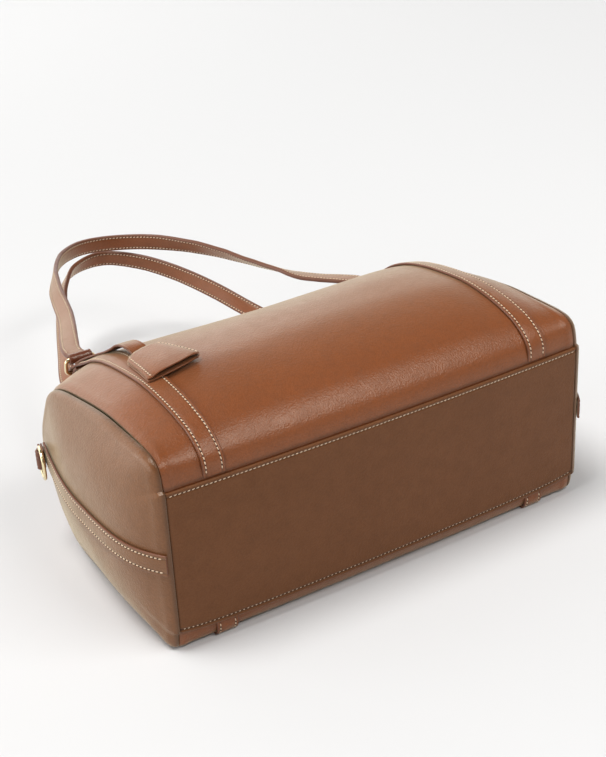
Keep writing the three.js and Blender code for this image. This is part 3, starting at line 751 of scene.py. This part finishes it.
def wobble(points, scale, seed):
    # even noise from -1 to 1 at each point of a grid
    shift = Vector((seed * 7.3, seed * 3.1, seed * 5.7))
    return np.array([[noise.noise(Vector(p) * scale + shift) for p in row] for row in points])


tabNames = ["front_left", "front_right", "back_left", "back_right"]
tabSkins = {tabName: frontSkin if tabName.startswith("front") else backSkin for tabName in tabNames}
bandX = {tabName: (sum(nodeBox(f"band_{tabName}")) / 2)[0] for tabName in tabNames}


def facePanel(name, skin, node):
    s = panelSettings
    xs = edgeSpaced(-endX, endX, s["step"], s["seamEdge"], s["seamStep"])
    vs = np.concatenate([np.arange(0, s["bottomFine"], 1.0),
                         np.linspace(s["bottomFine"], skin.length - s["zipFine"], s["rows"]),
                         skin.length - np.arange(0, s["zipFine"] - 0.4, s["seamStep"])[::-1]])
    x, v = np.meshgrid(xs, vs, indexing="ij")
    seam = endX - np.abs(x)
    plain = skin.at(x, v)
    middles = [bandX[tabName] for tabName in tabNames if tabSkins[tabName] is skin]
    nearBand = np.min([np.abs(x - middle) for middle in middles], axis=0)
    distances = {"seam": seam, "bottom": v, "zip": skin.length - v, "band": nearBand}
    calm = np.prod([smoothStep(*s["calm"][key], distance) for key, distance in distances.items()], axis=0)
    lift = s["waves"] * calm * wobble(plain, s["waveScale"], 1 + skin.side)
    pillow, *pillowPlace = s["seamPillow"]
    pucker, *puckerPlace = s["seamPucker"]
    lift += pillow * hump(seam, *pillowPlace)
    lift += pucker * hump(seam, *puckerPlace) * wobble(plain * [0, 1, 1], s["puckerScale"], 4)
    lift -= rollDrop(seam, s["seamRoll"]) + rollDrop(skin.length - v, s["zipRoll"])
    points = plain + skin.normalAt(x, v) * lift[..., None]
    points[..., 2] = np.maximum(points[..., 2], 0.0)
    seamShade, seamWidth = s["seamShade"]
    bottomShade, bottomWidth = s["bottomShade"]
    bandShade, bandWidth = s["bandShade"]
    shade = seamShade * hump(seam, 0, seamWidth) + bottomShade * hump(v, skin.knots[firstLine], bottomWidth)
    shade += bandShade * hump(nearBand, bandEdge, bandWidth) * (v < skin.knots[lastLine])
    bm = gridShape(points, shade=np.clip(shade, 0, 1))
    faceOutward(bm, (0, 0, skin.side))
    piece = addPiece(name, bm, [brownLeather], replaced=[node])
    thicken(piece, s["wall"])
    return piece


frontFace = facePanel("frontFace", frontSkin, "front_panel")
facePanel("backFace", backSkin, "back_panel")
print("faces made")


# Bottom panel, lapped over both faces with a stitched edge

bottomSettings = {
    "edgeRound": 1.1,
    "stitchInset": 2.6,
    "endRound": 1.6,
    "groove": (0.4, 0.8),  # depth and width
    "lowerSink": 0.16,     # the lower row is pulled deeper
    "wall": 1.6,
    "alongGrid": (4.0, 5.0, 0.5),       # step, width of the finer edge and its step
    "acrossGrid": (4.0, 6.0, 0.3),
    "waves": 0.35,
    "waveScale": 0.02,
    "calmEdge": (4, 26),   # where the waves set in
    "calmEnd": (4, 30),
    "rowShade": {-1: 1.0, 1: 0.45},
    "rowShadeWidth": 0.6,
    "endShade": (0.7, 0.9),
    "rowPoints": 60,
    "rowEnd": 2,           # from the end of a row to the gusset
}


def bottomPanel():
    s = bottomSettings
    half = (bottomHigh[2] - bottomLow[2]) / 2
    xs = edgeSpaced(-endX, endX, *s["alongGrid"])
    outs = edgeSpaced(-half, half, *s["acrossGrid"])
    x, out = np.meshgrid(xs, outs, indexing="ij")
    edge = half - np.abs(out)
    end = endX - np.abs(x)
    groove, grooveWidth = s["groove"]
    depth = rollDrop(edge, s["edgeRound"]) + rollDrop(end, s["endRound"])
    depth += groove * hump(edge, s["stitchInset"], grooveWidth)
    plain = np.stack([x, np.full_like(x, bottomY), middleZ + out], axis=-1)
    calm = smoothStep(*s["calmEdge"], edge) * smoothStep(*s["calmEnd"], end)
    depth -= s["waves"] * calm * wobble(plain, s["waveScale"], 9)
    points = settled(plain) + np.array([0, 1, 0]) * depth[..., None]
    shade = np.where(out > 0, s["rowShade"][1], s["rowShade"][-1])
    shade = shade * hump(edge, s["stitchInset"], s["rowShadeWidth"])
    endShade, endWidth = s["endShade"]
    shade = shade + endShade * hump(end, 0, endWidth)
    bm = gridShape(points, shade=np.clip(shade, 0, 1))
    faceOutward(bm, (0, -1, 0))
    piece = addPiece("bottomCover", bm, [bottomShadedLeather], replaced=["bottom_panel"])
    thicken(piece, s["wall"])
    stitches = StitchRows()
    reach = endX - s["rowEnd"]
    for side in (-1, 1):
        row = settled([[x, bottomY, middleZ + side * (half - s["stitchInset"])]
                       for x in np.linspace(-reach, reach, s["rowPoints"])])
        row[:, 1] += groove + (0 if side > 0 else s["lowerSink"])
        stitches.row(row, np.tile([0.0, -1, 0], (len(row), 1)))
    stitches.piece("bottomStitches")


bottomPanel()
print("bottom made")


# Gussets

gussetSettings = {
    "middle": 84,                       # fullest place above the bottom panel
    "fullness": {"bottom": 3.8, "side": 2.6, "top": 1.7},
    "even": 24,                         # degrees over which the outline is evened out inside
    "overlap": 0.15,                    # of the turned edge behind the edges of the faces
    "pillow": (0.5, 4.5, 2.4),          # height, distance from the seam and width
    "edgeReach": 90,                    # how far the finer stretch along the seam is spread
    "shade": (0.6, 0.7),
    "waves": 0.4,
    "waveScale": 0.025,
    "calmEdge": (5, 24),                # where the waves set in
    "calmMiddle": (8, 20),
    "centreReach": 6,                   # radius inside which the middle is closed
    "wall": 1.3,
    "around": 220,
}


class GussetSkin:
    # outer surface of a gusset: share is 0 at its fullest place and 1 at its seam

    def __init__(self, side):
        s = gussetSettings
        self.side = side
        low, high = nodeBox("gusset_left" if side < 0 else "gusset_right")
        self.seamX = (-high[0] if side < 0 else low[0]) + leatherWall
        self.bulge = (-low[0] if side < 0 else high[0]) - self.seamX
        self.middleY = bottomY + s["middle"]
        half = (bottomHigh[2] - bottomLow[2]) / 2
        column = lambda skin: skin.points[-1 if side > 0 else 0, skin.vs > skin.knots[firstLine]]
        top = np.array([[0, high[1], middleZ]])
        corner = lambda out: settled([[side * endX, bottomY, middleZ + out * half]])
        outline = np.concatenate([corner(share) for share in (0, 0.34, 0.67, 1)] + [column(frontSkin), top,
                                 column(backSkin)[::-1]] + [corner(-share) for share in (1, 0.67, 0.34, 0)])
        outline = outline[:, 1:]
        lengths = lengthsAlong(outline)
        places = np.linspace(0, lengths[-1], s["around"] + 1)
        self.outline = np.stack([np.interp(places, lengths, outline[:, k]) for k in (0, 1)], axis=1)
        y, z = self.outline.T - [[self.middleY], [middleZ]]
        self.angles = np.unwrap(np.arctan2(z, -y))
        self.radii = np.hypot(y, z)
        turns = np.arange(-60, 61)
        spread = [np.interp((self.angles + math.radians(turn)) % (2 * np.pi), self.angles, self.radii)
                  for turn in turns]
        self.evened = np.average(spread, axis=0, weights=hump(turns, 0, s["even"]))

    def height(self, share, upShare, uneven):
        # uneven is the seam's radius against the evened out one
        f = gussetSettings["fullness"]
        share = share * (uneven + (1 - uneven) * smoothStep(0.45, 1, share))
        fullness = np.where(upShare < 0, f["side"] + (f["bottom"] - f["side"]) * -upShare,
                            f["side"] + (f["top"] - f["side"]) * upShare)
        return self.bulge * (1 - share ** fullness)

    def at(self, y, z, lift=0.0):
        y, z = np.broadcast_arrays(np.asarray(y, float), np.asarray(z, float))
        away = np.maximum(np.hypot(y - self.middleY, z - middleZ), 1e-6)
        angle = np.arctan2(z - middleZ, -(y - self.middleY)) % (2 * np.pi)
        radius = np.interp(angle, self.angles, self.radii)
        uneven = radius / np.interp(angle, self.angles, self.evened)
        x = self.seamX + self.height(away / radius, (y - self.middleY) / away, uneven) + lift
        return np.stack([self.side * x, y, z], axis=-1)


gussetSkins = {"left": GussetSkin(-1), "right": GussetSkin(1)}


def gussetPanel(sideName):
    s = gussetSettings
    skin = gussetSkins[sideName]
    inner = np.linspace(0.02, 0.9, 26)
    rim = np.array([8, 6.4, 5.1, 4.0, 3.2, 2.6, 2.1, 1.65, 1.25, 0.9, 0.6, 0.38, 0.2, 0.08, 0])
    shares = np.concatenate([inner, 1 - rim / s["edgeReach"]])
    offsets = skin.outline - [skin.middleY, middleZ]
    y = skin.middleY + shares[None, :] * offsets[:, 0, None]
    z = middleZ + shares[None, :] * offsets[:, 1, None]
    upShare = offsets[:, 0, None] / skin.radii[:, None]
    edge = (1 - shares[None, :]) * skin.radii[:, None]
    height = skin.height(shares[None, :], upShare, (skin.radii / skin.evened)[:, None])
    pillow, *pillowPlace = s["pillow"]
    height = height - rollDrop(edge, skin.seamX - endX + s["overlap"]) + pillow * hump(edge, *pillowPlace)
    points = np.stack([skin.side * (skin.seamX + height), y, z], axis=-1)
    calm = smoothStep(*s["calmEdge"], edge) * smoothStep(*s["calmMiddle"], np.abs(z - middleZ))
    points[..., 0] += skin.side * s["waves"] * calm * wobble(points, s["waveScale"], 12)
    points[..., 2] = np.maximum(points[..., 2], 0.0)
    shade, shadeWidth = s["shade"]
    shade = shade * hump(edge, 0, shadeWidth)
    points[-1], shade[-1] = points[0], shade[0]
    bm = gridShape(points, closed=True, shade=shade)
    centre = Vector((0, skin.middleY, middleZ)) * mm
    hole = [edge for edge in bm.edges if edge.is_boundary
            and (edge.verts[0].co - centre).yz.length < s["centreReach"] * mm]
    bmesh.ops.holes_fill(bm, edges=hole, sides=0)
    faceOutward(bm, (skin.side, 0, 0))
    piece = addPiece(pieceName("gusset", sideName), bm, [gussetLeatherToneAndShade],
                     replaced=[f"gusset_{sideName}"])
    thicken(piece, s["wall"])


for sideName in gussetSkins:
    gussetPanel(sideName)
print("gussets made")


# Rings: the two bars of each one are read from its construction solid

def ringFrame(node, nearNode, across):
    bm = mergedCopy(node)
    points = np.array([vert.co for vert in bm.verts]) / mm
    bm.free()
    across = np.array(across, float)
    centre = (points.min(axis=0) + points.max(axis=0)) / 2
    flat = points - centre
    flat -= (flat @ across)[:, None] * across
    along = np.linalg.svd(flat - flat.mean(axis=0), full_matrices=False)[2][0]
    near = sum(nodeBox(nearNode)) / 2
    if along @ (near - centre) < 0:
        along = -along
    normal = np.cross(across, along)
    span = lambda axis: ((points @ axis).min(), (points @ axis).max())
    middle = sum((sum(span(axis)) / 2 * axis for axis in (across, along, normal)), np.zeros(3))
    reach = (span(normal)[1] - span(normal)[0]) / 2      # of a wire with eight flat sides
    halfAlong = (span(along)[1] - span(along)[0]) / 2 - reach
    return {"across": across, "along": along, "normal": normal, "wire": 2 * reach / math.cos(math.pi / 8),
            "near": middle + along * halfAlong, "far": middle - along * halfAlong,
            "halfAcross": (span(across)[1] - span(across)[0]) / 2 - reach, "halfAlong": halfAlong}


handleRings = {name: ringFrame(f"handle_ring_{name}", f"handle_keeper_{name}", (1, 0, 0))
               for name in tabNames}
dRings = {name: ringFrame(f"d_ring_{name}", f"d_ring_loop_{name}", (0, 0, 1)) for name in ("left", "right")}

ringSettings = {
    "sides": 14,
    "cornerSteps": 9,
    "straightSteps": 6,
    "closest": 0.02,       # nearer points are left out
    "handleCorner": 3.2,
    "bowCorner": 8.2,
    "barCorner": 2.2,
}


def ringPiece(name, node, ring, body, farCorner, nearCorner):
    s = ringSettings
    half = ring["halfAcross"]
    halfAlong = ring["halfAlong"]
    places = []      # across and along, a row of points for each corner
    for sx, sy, radius, start in ((1, 1, nearCorner, 0), (-1, 1, nearCorner, 90),
                                  (-1, -1, farCorner, 180), (1, -1, farCorner, 270)):
        turn = np.radians(start + np.linspace(0, 90, s["cornerSteps"]))
        places.append(np.stack([sx * (half - radius) + radius * np.cos(turn),
                                sy * (halfAlong - radius) + radius * np.sin(turn)], axis=1))
    route = []
    for corner, following in zip(places, places[1:] + places[:1]):
        route += [corner, np.linspace(corner[-1], following[0], s["straightSteps"])[1:-1]]
    route = np.concatenate(route)
    route = route[np.linalg.norm(route - np.roll(route, 1, axis=0), axis=1) > s["closest"]]
    ways = unit(np.roll(route, -1, axis=0) - np.roll(route, 1, axis=0))
    middle = (ring["near"] + ring["far"]) / 2
    centres = middle + route[:, :1] * ring["across"] + route[:, 1:] * ring["along"]
    outward = ways[:, 1:] * ring["across"] - ways[:, :1] * ring["along"]
    turn = np.linspace(0, 2 * np.pi, s["sides"] + 1)
    sections = (centres[:, None] + ring["wire"] / 2 * (np.cos(turn)[None, :, None] * outward[:, None]
                + np.sin(turn)[None, :, None] * ring["normal"]))
    sections = np.concatenate([sections, sections[:1]])
    addPiece(name, gridShape(sections, closed=True), [gold], body=body, replaced=[node])


for tabName, ring in handleRings.items():
    corner = ringSettings["handleCorner"]
    ringPiece(pieceName("handleRing", tabName), f"handle_ring_{tabName}", ring, "bag", corner, corner)
for sideName, ring in dRings.items():
    ringPiece(pieceName("dRing", sideName), f"d_ring_{sideName}", ring, f"{sideName}_ring",
              ringSettings["bowCorner"], ringSettings["barCorner"])
print("rings made")


# Bands, each folded round the lower bar of its ring

bandSettings = {
    "width": 14.5,
    "thickness": 1.6,
    "gap": 0.3,
    "tuck": 1.5,           # how far a band sinks where the bottom panel laps over it
    "tuckReach": 5.0,
    "stitchInset": 2.2,
    "step": 2.0,
    "tab": 14,             # folded end
    "barClearance": 0.35,
    "edgeRound": 0.6,
}

foldTurns = np.radians(np.arange(0, 211, 15))


def foldRound(radius, forward, out):
    # forward and out distances of leather bent round a bar, with the directions up from it
    return [(radius * sine, radius * cosine, sine * forward + cosine * out)
            for sine, cosine in zip(np.sin(foldTurns), np.cos(foldTurns))]


def bandBase(skin, x, ring, across):
    # base points and directions of a band for some places across it
    s = bandSettings
    across = np.asarray(across, float)
    vs = np.arange(skin.knots[firstLine] + 0.2, skin.knots[lastLine], s["step"])
    vGrid, aGrid = np.meshgrid(vs, across, indexing="ij")
    tuck = s["tuck"] * hump(vGrid, vs[0], s["tuckReach"])
    base = skin.at(x + aGrid, vGrid, s["gap"] - tuck)
    up = skin.normalAt(x + aGrid, vGrid)
    leave = skin.at(x, skin.knots[lastLine], s["gap"])
    bar = np.array([x, *ring["far"][1:]])
    forward = (bar - leave) * [0, 1, 1]
    forward = forward / np.linalg.norm(forward)
    out = np.array([0, -forward[2], forward[1]])
    out = out * np.sign(out @ skin.normalAt(x, skin.knots[lastLine]))
    radius = ring["wire"] / 2 + s["barClearance"]
    places = [(-s["tab"], radius, out), (-s["tab"] / 2, radius, out)] + foldRound(radius, forward, out)
    places += [(-k * s["tab"], radius - s["gap"], -out) for k in (0.6, 1)]
    tab = np.array([bar + f * forward + o * out for f, o, _ in places])[:, None]
    tab = tab + across[None, :, None] * np.array([1, 0, 0])
    tabUp = np.array([direction for _, _, direction in places])[:, None] + np.zeros_like(tab)
    return np.concatenate([base, tab]), np.concatenate([up, tabUp]), len(vs) + 3


def bandPiece(tabName):
    s = bandSettings
    skin, x, ring = tabSkins[tabName], bandX[tabName], handleRings[tabName]
    inset = s["width"] / 2 - s["stitchInset"]
    profile, sides = stripProfile(s["width"], s["thickness"], s["stitchInset"], edgeRound=s["edgeRound"])
    base, up, _ = bandBase(skin, x, ring, profile[:, 0])
    bm = stripShape(base, up, profile, sides, shade=rowShade(profile, base, inset, 0.55))
    addPiece(pieceName("band", tabName), bm, [brownLeather, paint],
             replaced=[f"band_{tabName}"])
    stitches = StitchRows()
    for across in (-inset, inset):
        line, lineUp, last = bandBase(skin, x, ring, [across])
        line, lineUp = line[1:last, 0], lineUp[1:last, 0]
        stitches.row(line + lineUp * (s["thickness"] - stitchSettings["bed"]), lineUp,
                     stitchSettings["strapSlant"])
    stitches.piece(pieceName("stitchesBand", tabName))


for tabName in tabNames:
    bandPiece(tabName)
print("bands made")


# Rolled ends of the handles

keeperSettings = {
    "wall": 1.7,
    "stitchInset": 1.5,
    "groove": 0.18,
    "edgeRound": 0.6,
}


def keeperPiece(tabName):
    s = keeperSettings
    node = f"handle_keeper_{tabName}"
    low, high = nodeBox(node)
    centre = (low + high) / 2
    outer = (high[1] - low[1]) / 2
    profile, sides = stripProfile(high[0] - low[0], s["wall"], s["stitchInset"], groove=s["groove"],
                                  edgeRound=s["edgeRound"])
    turn = np.radians(np.arange(0, 360, 12))
    up = np.stack([0 * turn, np.cos(turn), np.sin(turn)], axis=1)
    centres = centre + up * (outer - s["wall"])
    base, ups = straightBase(centres, np.tile([1.0, 0, 0], (len(turn), 1)), up, profile)
    bm = stripShape(base, ups, profile, sides, ring=True)
    addPiece(pieceName("handleKeeper", tabName), bm, [darkLeather, paint], replaced=[node])


for tabName in tabNames:
    keeperPiece(tabName)


# Handles

handleSettings = {
    "sectionPoints": 8,
    "step": 2.0,
    "width": 13,
    "thickness": 3.2,
    "stitchInset": 1.9,
    "edgeRound": 1.0,
    "tuck": 2.2,           # end of the strap inside its rolled keeper
    "rowMargin": 4,        # sections without a stitch at both ends
}


def sectionsOf(node, start, count):
    # centre and wide direction of each section of a strap, from the one nearest to start
    bm = mergedCopy(node)
    start = Vector(start) * mm
    ring = sorted(bm.verts, key=lambda vert: (vert.co - start).length)[:count]
    seen = set(ring)
    centres, wides = [], []
    while ring:
        points = np.array([vert.co for vert in ring]) / mm
        centres.append(points.mean(axis=0))
        wide = np.linalg.svd(points - centres[-1], full_matrices=False)[2][0]
        if wides and wide @ wides[-1] < 0:
            wide = -wide
        wides.append(wide)
        following = {edge.other_vert(vert) for vert in ring for edge in vert.link_edges} - seen
        seen |= following
        ring = list(following)
    bm.free()
    return np.array(centres), np.array(wides)


def strapRoute(centres, wides, step, tuck=0.0):
    # evenly spaced centres, wide directions and thick directions along a strap
    if tuck:
        first = centres[0] + unit(centres[0] - centres[1]) * tuck
        last = centres[-1] + unit(centres[-1] - centres[-2]) * tuck
        centres = np.concatenate([[first], centres, [last]])
        wides = np.concatenate([wides[:1], wides, wides[-1:]])
    lengths = lengthsAlong(centres)
    places = np.linspace(0, lengths[-1], int(lengths[-1] / step) + 1)
    middle = spline(lengths, centres, places)
    way = unit(np.gradient(middle, axis=0))
    wide = spline(lengths, wides, places)
    wide = unit(wide - (wide * way).sum(axis=1, keepdims=True) * way)
    return middle, wide, np.cross(wide, way)


def handlePiece(name, node, startTab):
    s = handleSettings
    start = sum(nodeBox(f"handle_keeper_{startTab}")) / 2
    centres, wides = sectionsOf(node, start, s["sectionPoints"])
    middle, wide, thick = strapRoute(centres, wides, s["step"], s["tuck"])
    inset = s["width"] / 2 - s["stitchInset"]
    profile, sides = stripProfile(s["width"], s["thickness"], s["stitchInset"], bothFaces=True,
                                  edgeRound=s["edgeRound"])
    base, up = straightBase(middle - thick * s["thickness"] / 2, wide, thick, profile)
    bm = stripShape(base, up, profile, sides, shade=rowShade(profile, base, inset, 0.5, topOnly=False))
    addPiece(name, bm, [brownLeather, paint], replaced=[node])
    stitches = StitchRows()
    sewn = slice(s["rowMargin"], -s["rowMargin"])
    for across in (-inset, inset):
        for face in (-1, 1):
            line = middle + wide * across + thick * face * (s["thickness"] / 2 - stitchSettings["bed"])
            stitches.row(line[sewn], (thick * face)[sewn])
    stitches.piece(name + "Stitches")


handlePiece("handleFront", "handle_front", "front_left")
handlePiece("handleBack", "handle_back", "back_left")
print("handles made")


# Gusset straps and the loops of their D-rings

gussetStrapSettings = {
    "width": 14,
    "thickness": 1.6,
    "gap": 0.4,
    "stitchInset": 2.3,
    "step": 2.0,
    "loopWidth": 13,
    "loopWall": 1.4,
    "loopTail": 9,
    "loopInset": 1.6,
    "loopGroove": 0.15,
    "loopRound": 0.5,
    "barClearance": 0.35,
    "edgeRound": 0.6,
}


def gussetStrap(sideName):
    s = gussetStrapSettings
    skin = gussetSkins[sideName]
    node = f"gusset_strap_{sideName}"
    low, high = nodeBox(node)
    ys = np.arange(low[1] + 0.3, high[1], s["step"])
    surface = skin.at(ys, middleZ + 0.001, s["gap"])
    way = unit(np.gradient(surface, axis=0))
    up = np.cross(way, [0, 0, 1.0])
    up = up * np.sign(up[:, :1] * skin.side)
    inset = s["width"] / 2 - s["stitchInset"]
    profile, sides = stripProfile(s["width"], s["thickness"], s["stitchInset"], edgeRound=s["edgeRound"])
    base, ups = straightBase(surface, np.tile([0, 0, 1.0], (len(ys), 1)), up, profile)
    bm = stripShape(base, ups, profile, sides, shade=rowShade(profile, base, inset, 0.55))
    addPiece(pieceName("gussetStrap", sideName), bm, [gussetLeatherToneAndShade, paint],
             replaced=[node])
    stitches = StitchRows()
    for shift in (-inset, inset):
        line = surface + up * (s["thickness"] - stitchSettings["bed"]) + np.array([0, 0, shift])
        stitches.row(line[1:-2], up[1:-2], stitchSettings["strapSlant"])
    stitches.piece(pieceName("stitchesGussetStrap", sideName))


def dRingLoop(sideName):
    s = gussetStrapSettings
    ring, skin = dRings[sideName], gussetSkins[sideName]
    down = -ring["along"]
    over = ring["normal"] * np.sign(ring["normal"][0] * skin.side)
    radius = ring["wire"] / 2 + s["barClearance"]
    places = [(-s["loopTail"], radius, -over)] + foldRound(radius, down, -over)
    places += [(-k * s["loopTail"], radius - 0.3, over) for k in (0.7, 1)]
    centres = np.array([ring["near"] + d * down - o * over for d, o, _ in places])
    up = np.array([direction for _, _, direction in places])
    profile, sides = stripProfile(s["loopWidth"], s["loopWall"], s["loopInset"], groove=s["loopGroove"],
                                  edgeRound=s["loopRound"])
    base, ups = straightBase(centres, np.tile(ring["across"], (len(places), 1)), up, profile)
    bm = stripShape(base, ups, profile, sides)
    addPiece(pieceName("dRingLoop", sideName), bm, [darkLeather, paint],
             replaced=[f"d_ring_loop_{sideName}"])


for sideName in gussetSkins:
    gussetStrap(sideName)
    dRingLoop(sideName)
print("gusset straps made")


# Key bell and its strap

bellSettings = {
    "length": 35.5,
    "place": (-105.2, 7.0),          # x and y of its middle
    "turn": 7.5,
    "wall": 1.4,
    "gap": 0.3,
    "lift": 2.2,                      # of the back layer above the face
    "neckOpening": 2.0,
    "mouthOpening": 2.3,
    "mouthBulge": 2.2,                # how far the middle of the mouth stands out past its corners
    "halfWidths": [(0, 0.76), (0.05, 0.86), (0.2, 0.97), (0.5, 1.11), (0.85, 1.28), (0.94, 1.31),
                   (0.98, 1.26), (1, 1.18)],
    "unitWidth": 14.5,
    "edgeRound": 0.5,
    "stitchInset": 2.2,
    "groove": (0.22, 0.6),            # depth and width
    "rowShade": 0.5,
    "strapThickness": 1.4,
    "strapWidth": 12,
    "strapInset": 1.8,
    "strapGroove": 0.15,
}


def treeOf(piece):
    bm = bmesh.new()
    bm.from_mesh(piece.data)
    tree = BVHTree.FromBMesh(bm)
    bm.free()
    return tree


frontTree = treeOf(frontFace)


def faceHeight(x, y):
    hit = frontTree.ray_cast(Vector((x, y, 400)) * mm, Vector((0, 0, -1)))
    return hit[0].z / mm


def bellPoints(along, across, height):
    s = bellSettings
    turn = math.radians(s["turn"])
    forward = along * s["length"] - s["length"] / 2
    x = s["place"][0] + math.sin(turn) * forward + math.cos(turn) * across
    y = s["place"][1] - math.cos(turn) * forward + math.sin(turn) * across
    z = np.array([[faceHeight(a, b) for a, b in zip(*pair)] for pair in zip(x, y)])
    return np.stack([x, y, z + s["lift"] + height], axis=-1)


def bellHeights(along, share, base, neck, mouth):
    return base + (1 - share ** 4) * (neck + (mouth - neck) * along)


def bellHalves(alongs):
    places, widths = np.array(bellSettings["halfWidths"]).T
    return spline(places, widths[:, None], alongs)[:, 0] * bellSettings["unitWidth"]


def bellLayer(name, node, base, neck, mouth):
    s = bellSettings
    alongs = np.concatenate([np.linspace(0, 0.9, 19), np.linspace(0.92, 1, 7)])
    shares = edgeSpaced(-1, 1, 0.1, 0.12, 0.04)
    halves = bellHalves(alongs)[:, None]
    along, share = np.meshgrid(alongs, shares, indexing="ij")
    across = share * halves
    side = halves - np.abs(across)
    edge = np.minimum(side, (1 - along) * s["length"])
    height = bellHeights(along, share, base, neck, mouth) + s["wall"] - rollDrop(edge, s["edgeRound"])
    groove, grooveWidth = s["groove"]
    row = hump(side, s["stitchInset"], grooveWidth)
    height -= groove * row
    bulge = s["mouthBulge"] / s["length"] * (1 - share ** 2) * smoothStep(0.3, 1, along)
    points = bellPoints(along + bulge, across, height)
    bm = gridShape(points, shade=s["rowShade"] * row)
    faceOutward(bm, (0, 0, 1))
    piece = addPiece(name, bm, [brownLeather, paint], replaced=[node])
    thicken(piece, s["wall"]).material_offset_rim = 1
    return piece


def bellStitches():
    s = bellSettings
    alongs = np.linspace(0.04, 0.97, 30)
    halves = bellHalves(alongs) - s["stitchInset"]
    stitches = StitchRows()
    base = s["wall"] + s["gap"]
    for side in (-1, 1):
        share = halves / (halves + s["stitchInset"])
        height = bellHeights(alongs, share, base, s["neckOpening"], s["mouthOpening"]) + s["wall"]
        row = bellPoints(alongs[None], side * halves[None], height[None] - 0.1)[0]
        stitches.row(row, np.tile([0.0, 0, 1], (len(row), 1)))
    stitches.piece("bellStitches")


bellLayer("bellBack", "bell_back", 0, 0, 0)
bellLayer("bellFront", "bell_front", bellSettings["wall"] + bellSettings["gap"],
          bellSettings["neckOpening"], bellSettings["mouthOpening"])
bellStitches()


def bellStrap():
    s = bellSettings
    centres, wides = sectionsOf("bell_strap", handleRings["front_left"]["far"], 4)
    middle, wide, thick = strapRoute(centres, wides, 1.5)
    if thick[len(thick) // 2][2] < 0:
        thick = -thick
    profile, sides = stripProfile(s["strapWidth"], s["strapThickness"], s["strapInset"],
                                  groove=s["strapGroove"], edgeRound=s["edgeRound"])
    # the underside takes the edge paint as painted shade under the strap's arch
    sides = [1 if height < 0.1 else side for side, (_, height) in zip(sides, profile)]   # a dark underside
    base, up = straightBase(middle - thick * s["strapThickness"] / 2, wide, thick, profile)
    bm = stripShape(base, up, profile, sides)
    addPiece("bellStrap", bm, [brownLeather, paint], replaced=["bell_strap"])


bellStrap()
print("bell made")


# Zip

zipSettings = {
    "points": (74, 29),    # along and across the tape
    "tapeWidth": 28,
    "tapeThickness": 0.9,
    "tapeGap": 0.3,        # under the edges of the faces
    "tapeFlat": 5.4,       # half width of the level middle
    "tapeSlope": 0.22,
    "toothPitch": 2.4,
    "tooth": (1.5, 1.7, 2.9),
    "toothRise": 0.6,
    "toothAside": 0.8,
    "stitchInset": 3.2,
    "rowEnd": 5,           # from the end of a row to the gusset
    "rowPoints": 120,
    "slider": (11, 3.0, 8),
    "pull": (24, 1.4, 6),
    "sliderEnd": 5.5,      # from the slider's middle to the end of its solid
}


def addBox(bm, size, place):
    scale = Matrix.Diagonal((*[length * mm for length in size], 1))
    bmesh.ops.create_cube(bm, size=1, matrix=Matrix.Translation(Vector(place) * mm) @ scale)


def roundEdges(bm, offset, segments):
    bmesh.ops.bevel(bm, geom=bm.edges[:], offset=offset * mm, affect="EDGES", segments=segments,
                    profile=0.5, material=-1)


def zipTape():
    s = zipSettings
    low, high = nodeBox("zip")
    xs = np.linspace(low[0], high[0], s["points"][0])
    outs = np.linspace(-s["tapeWidth"] / 2, s["tapeWidth"] / 2, s["points"][1])
    x, out = np.meshgrid(xs, outs, indexing="ij")
    top = frontSkin.at(xs, frontSkin.length)[:, 1]
    drop = np.maximum(0, np.abs(out) - s["tapeFlat"]) * s["tapeSlope"]
    y = top[:, None] - leatherWall - s["tapeGap"] - drop
    bm = gridShape(np.stack([x, y, middleZ + out], axis=-1))
    faceOutward(bm, (0, 1, 0))
    piece = addPiece("zipTape", bm, [tapeCloth], replaced=["zip"])
    thicken(piece, s["tapeThickness"])
    teeth = bmesh.new()
    for k, place in enumerate(np.arange(low[0] + 2, high[0] - 2, s["toothPitch"] / 2)):
        level = np.interp(place, xs, top) - leatherWall + s["toothRise"]
        aside = s["toothAside"] * (1 if k % 2 else -1)
        addBox(teeth, s["tooth"], (place, level, middleZ + aside))
    roundEdges(teeth, 0.3, 1)
    addPiece("zipTeeth", teeth, [gold])
    reach = endX - s["rowEnd"]
    for skin, name in ((frontSkin, "zipStitchesFront"), (backSkin, "zipStitchesBack")):
        stitches = StitchRows()
        rowX, rowV = np.linspace(-reach, reach, s["rowPoints"]), skin.length - s["stitchInset"]
        stitches.row(skin.at(rowX, rowV), skin.normalAt(rowX, rowV))
        stitches.piece(name)


def zipSlider():
    s = zipSettings
    low, high = nodeBox("zip_slider")
    bm = bmesh.new()
    centreY = low[1] + (high[1] - low[1]) * 0.4
    sliderX = high[0] - s["sliderEnd"]
    addBox(bm, s["slider"], (sliderX, centreY, middleZ))
    addBox(bm, s["pull"], (sliderX - s["pull"][0] / 2, centreY + s["slider"][1] / 2, middleZ))
    roundEdges(bm, 0.6, 3)
    addPiece("zipSlider", bm, [gold], replaced=["zip_slider"])


zipTape()
zipSlider()
print("zip made")


exportSizes = {"cad": cadBox, "visual": [list(corner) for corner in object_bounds()]}
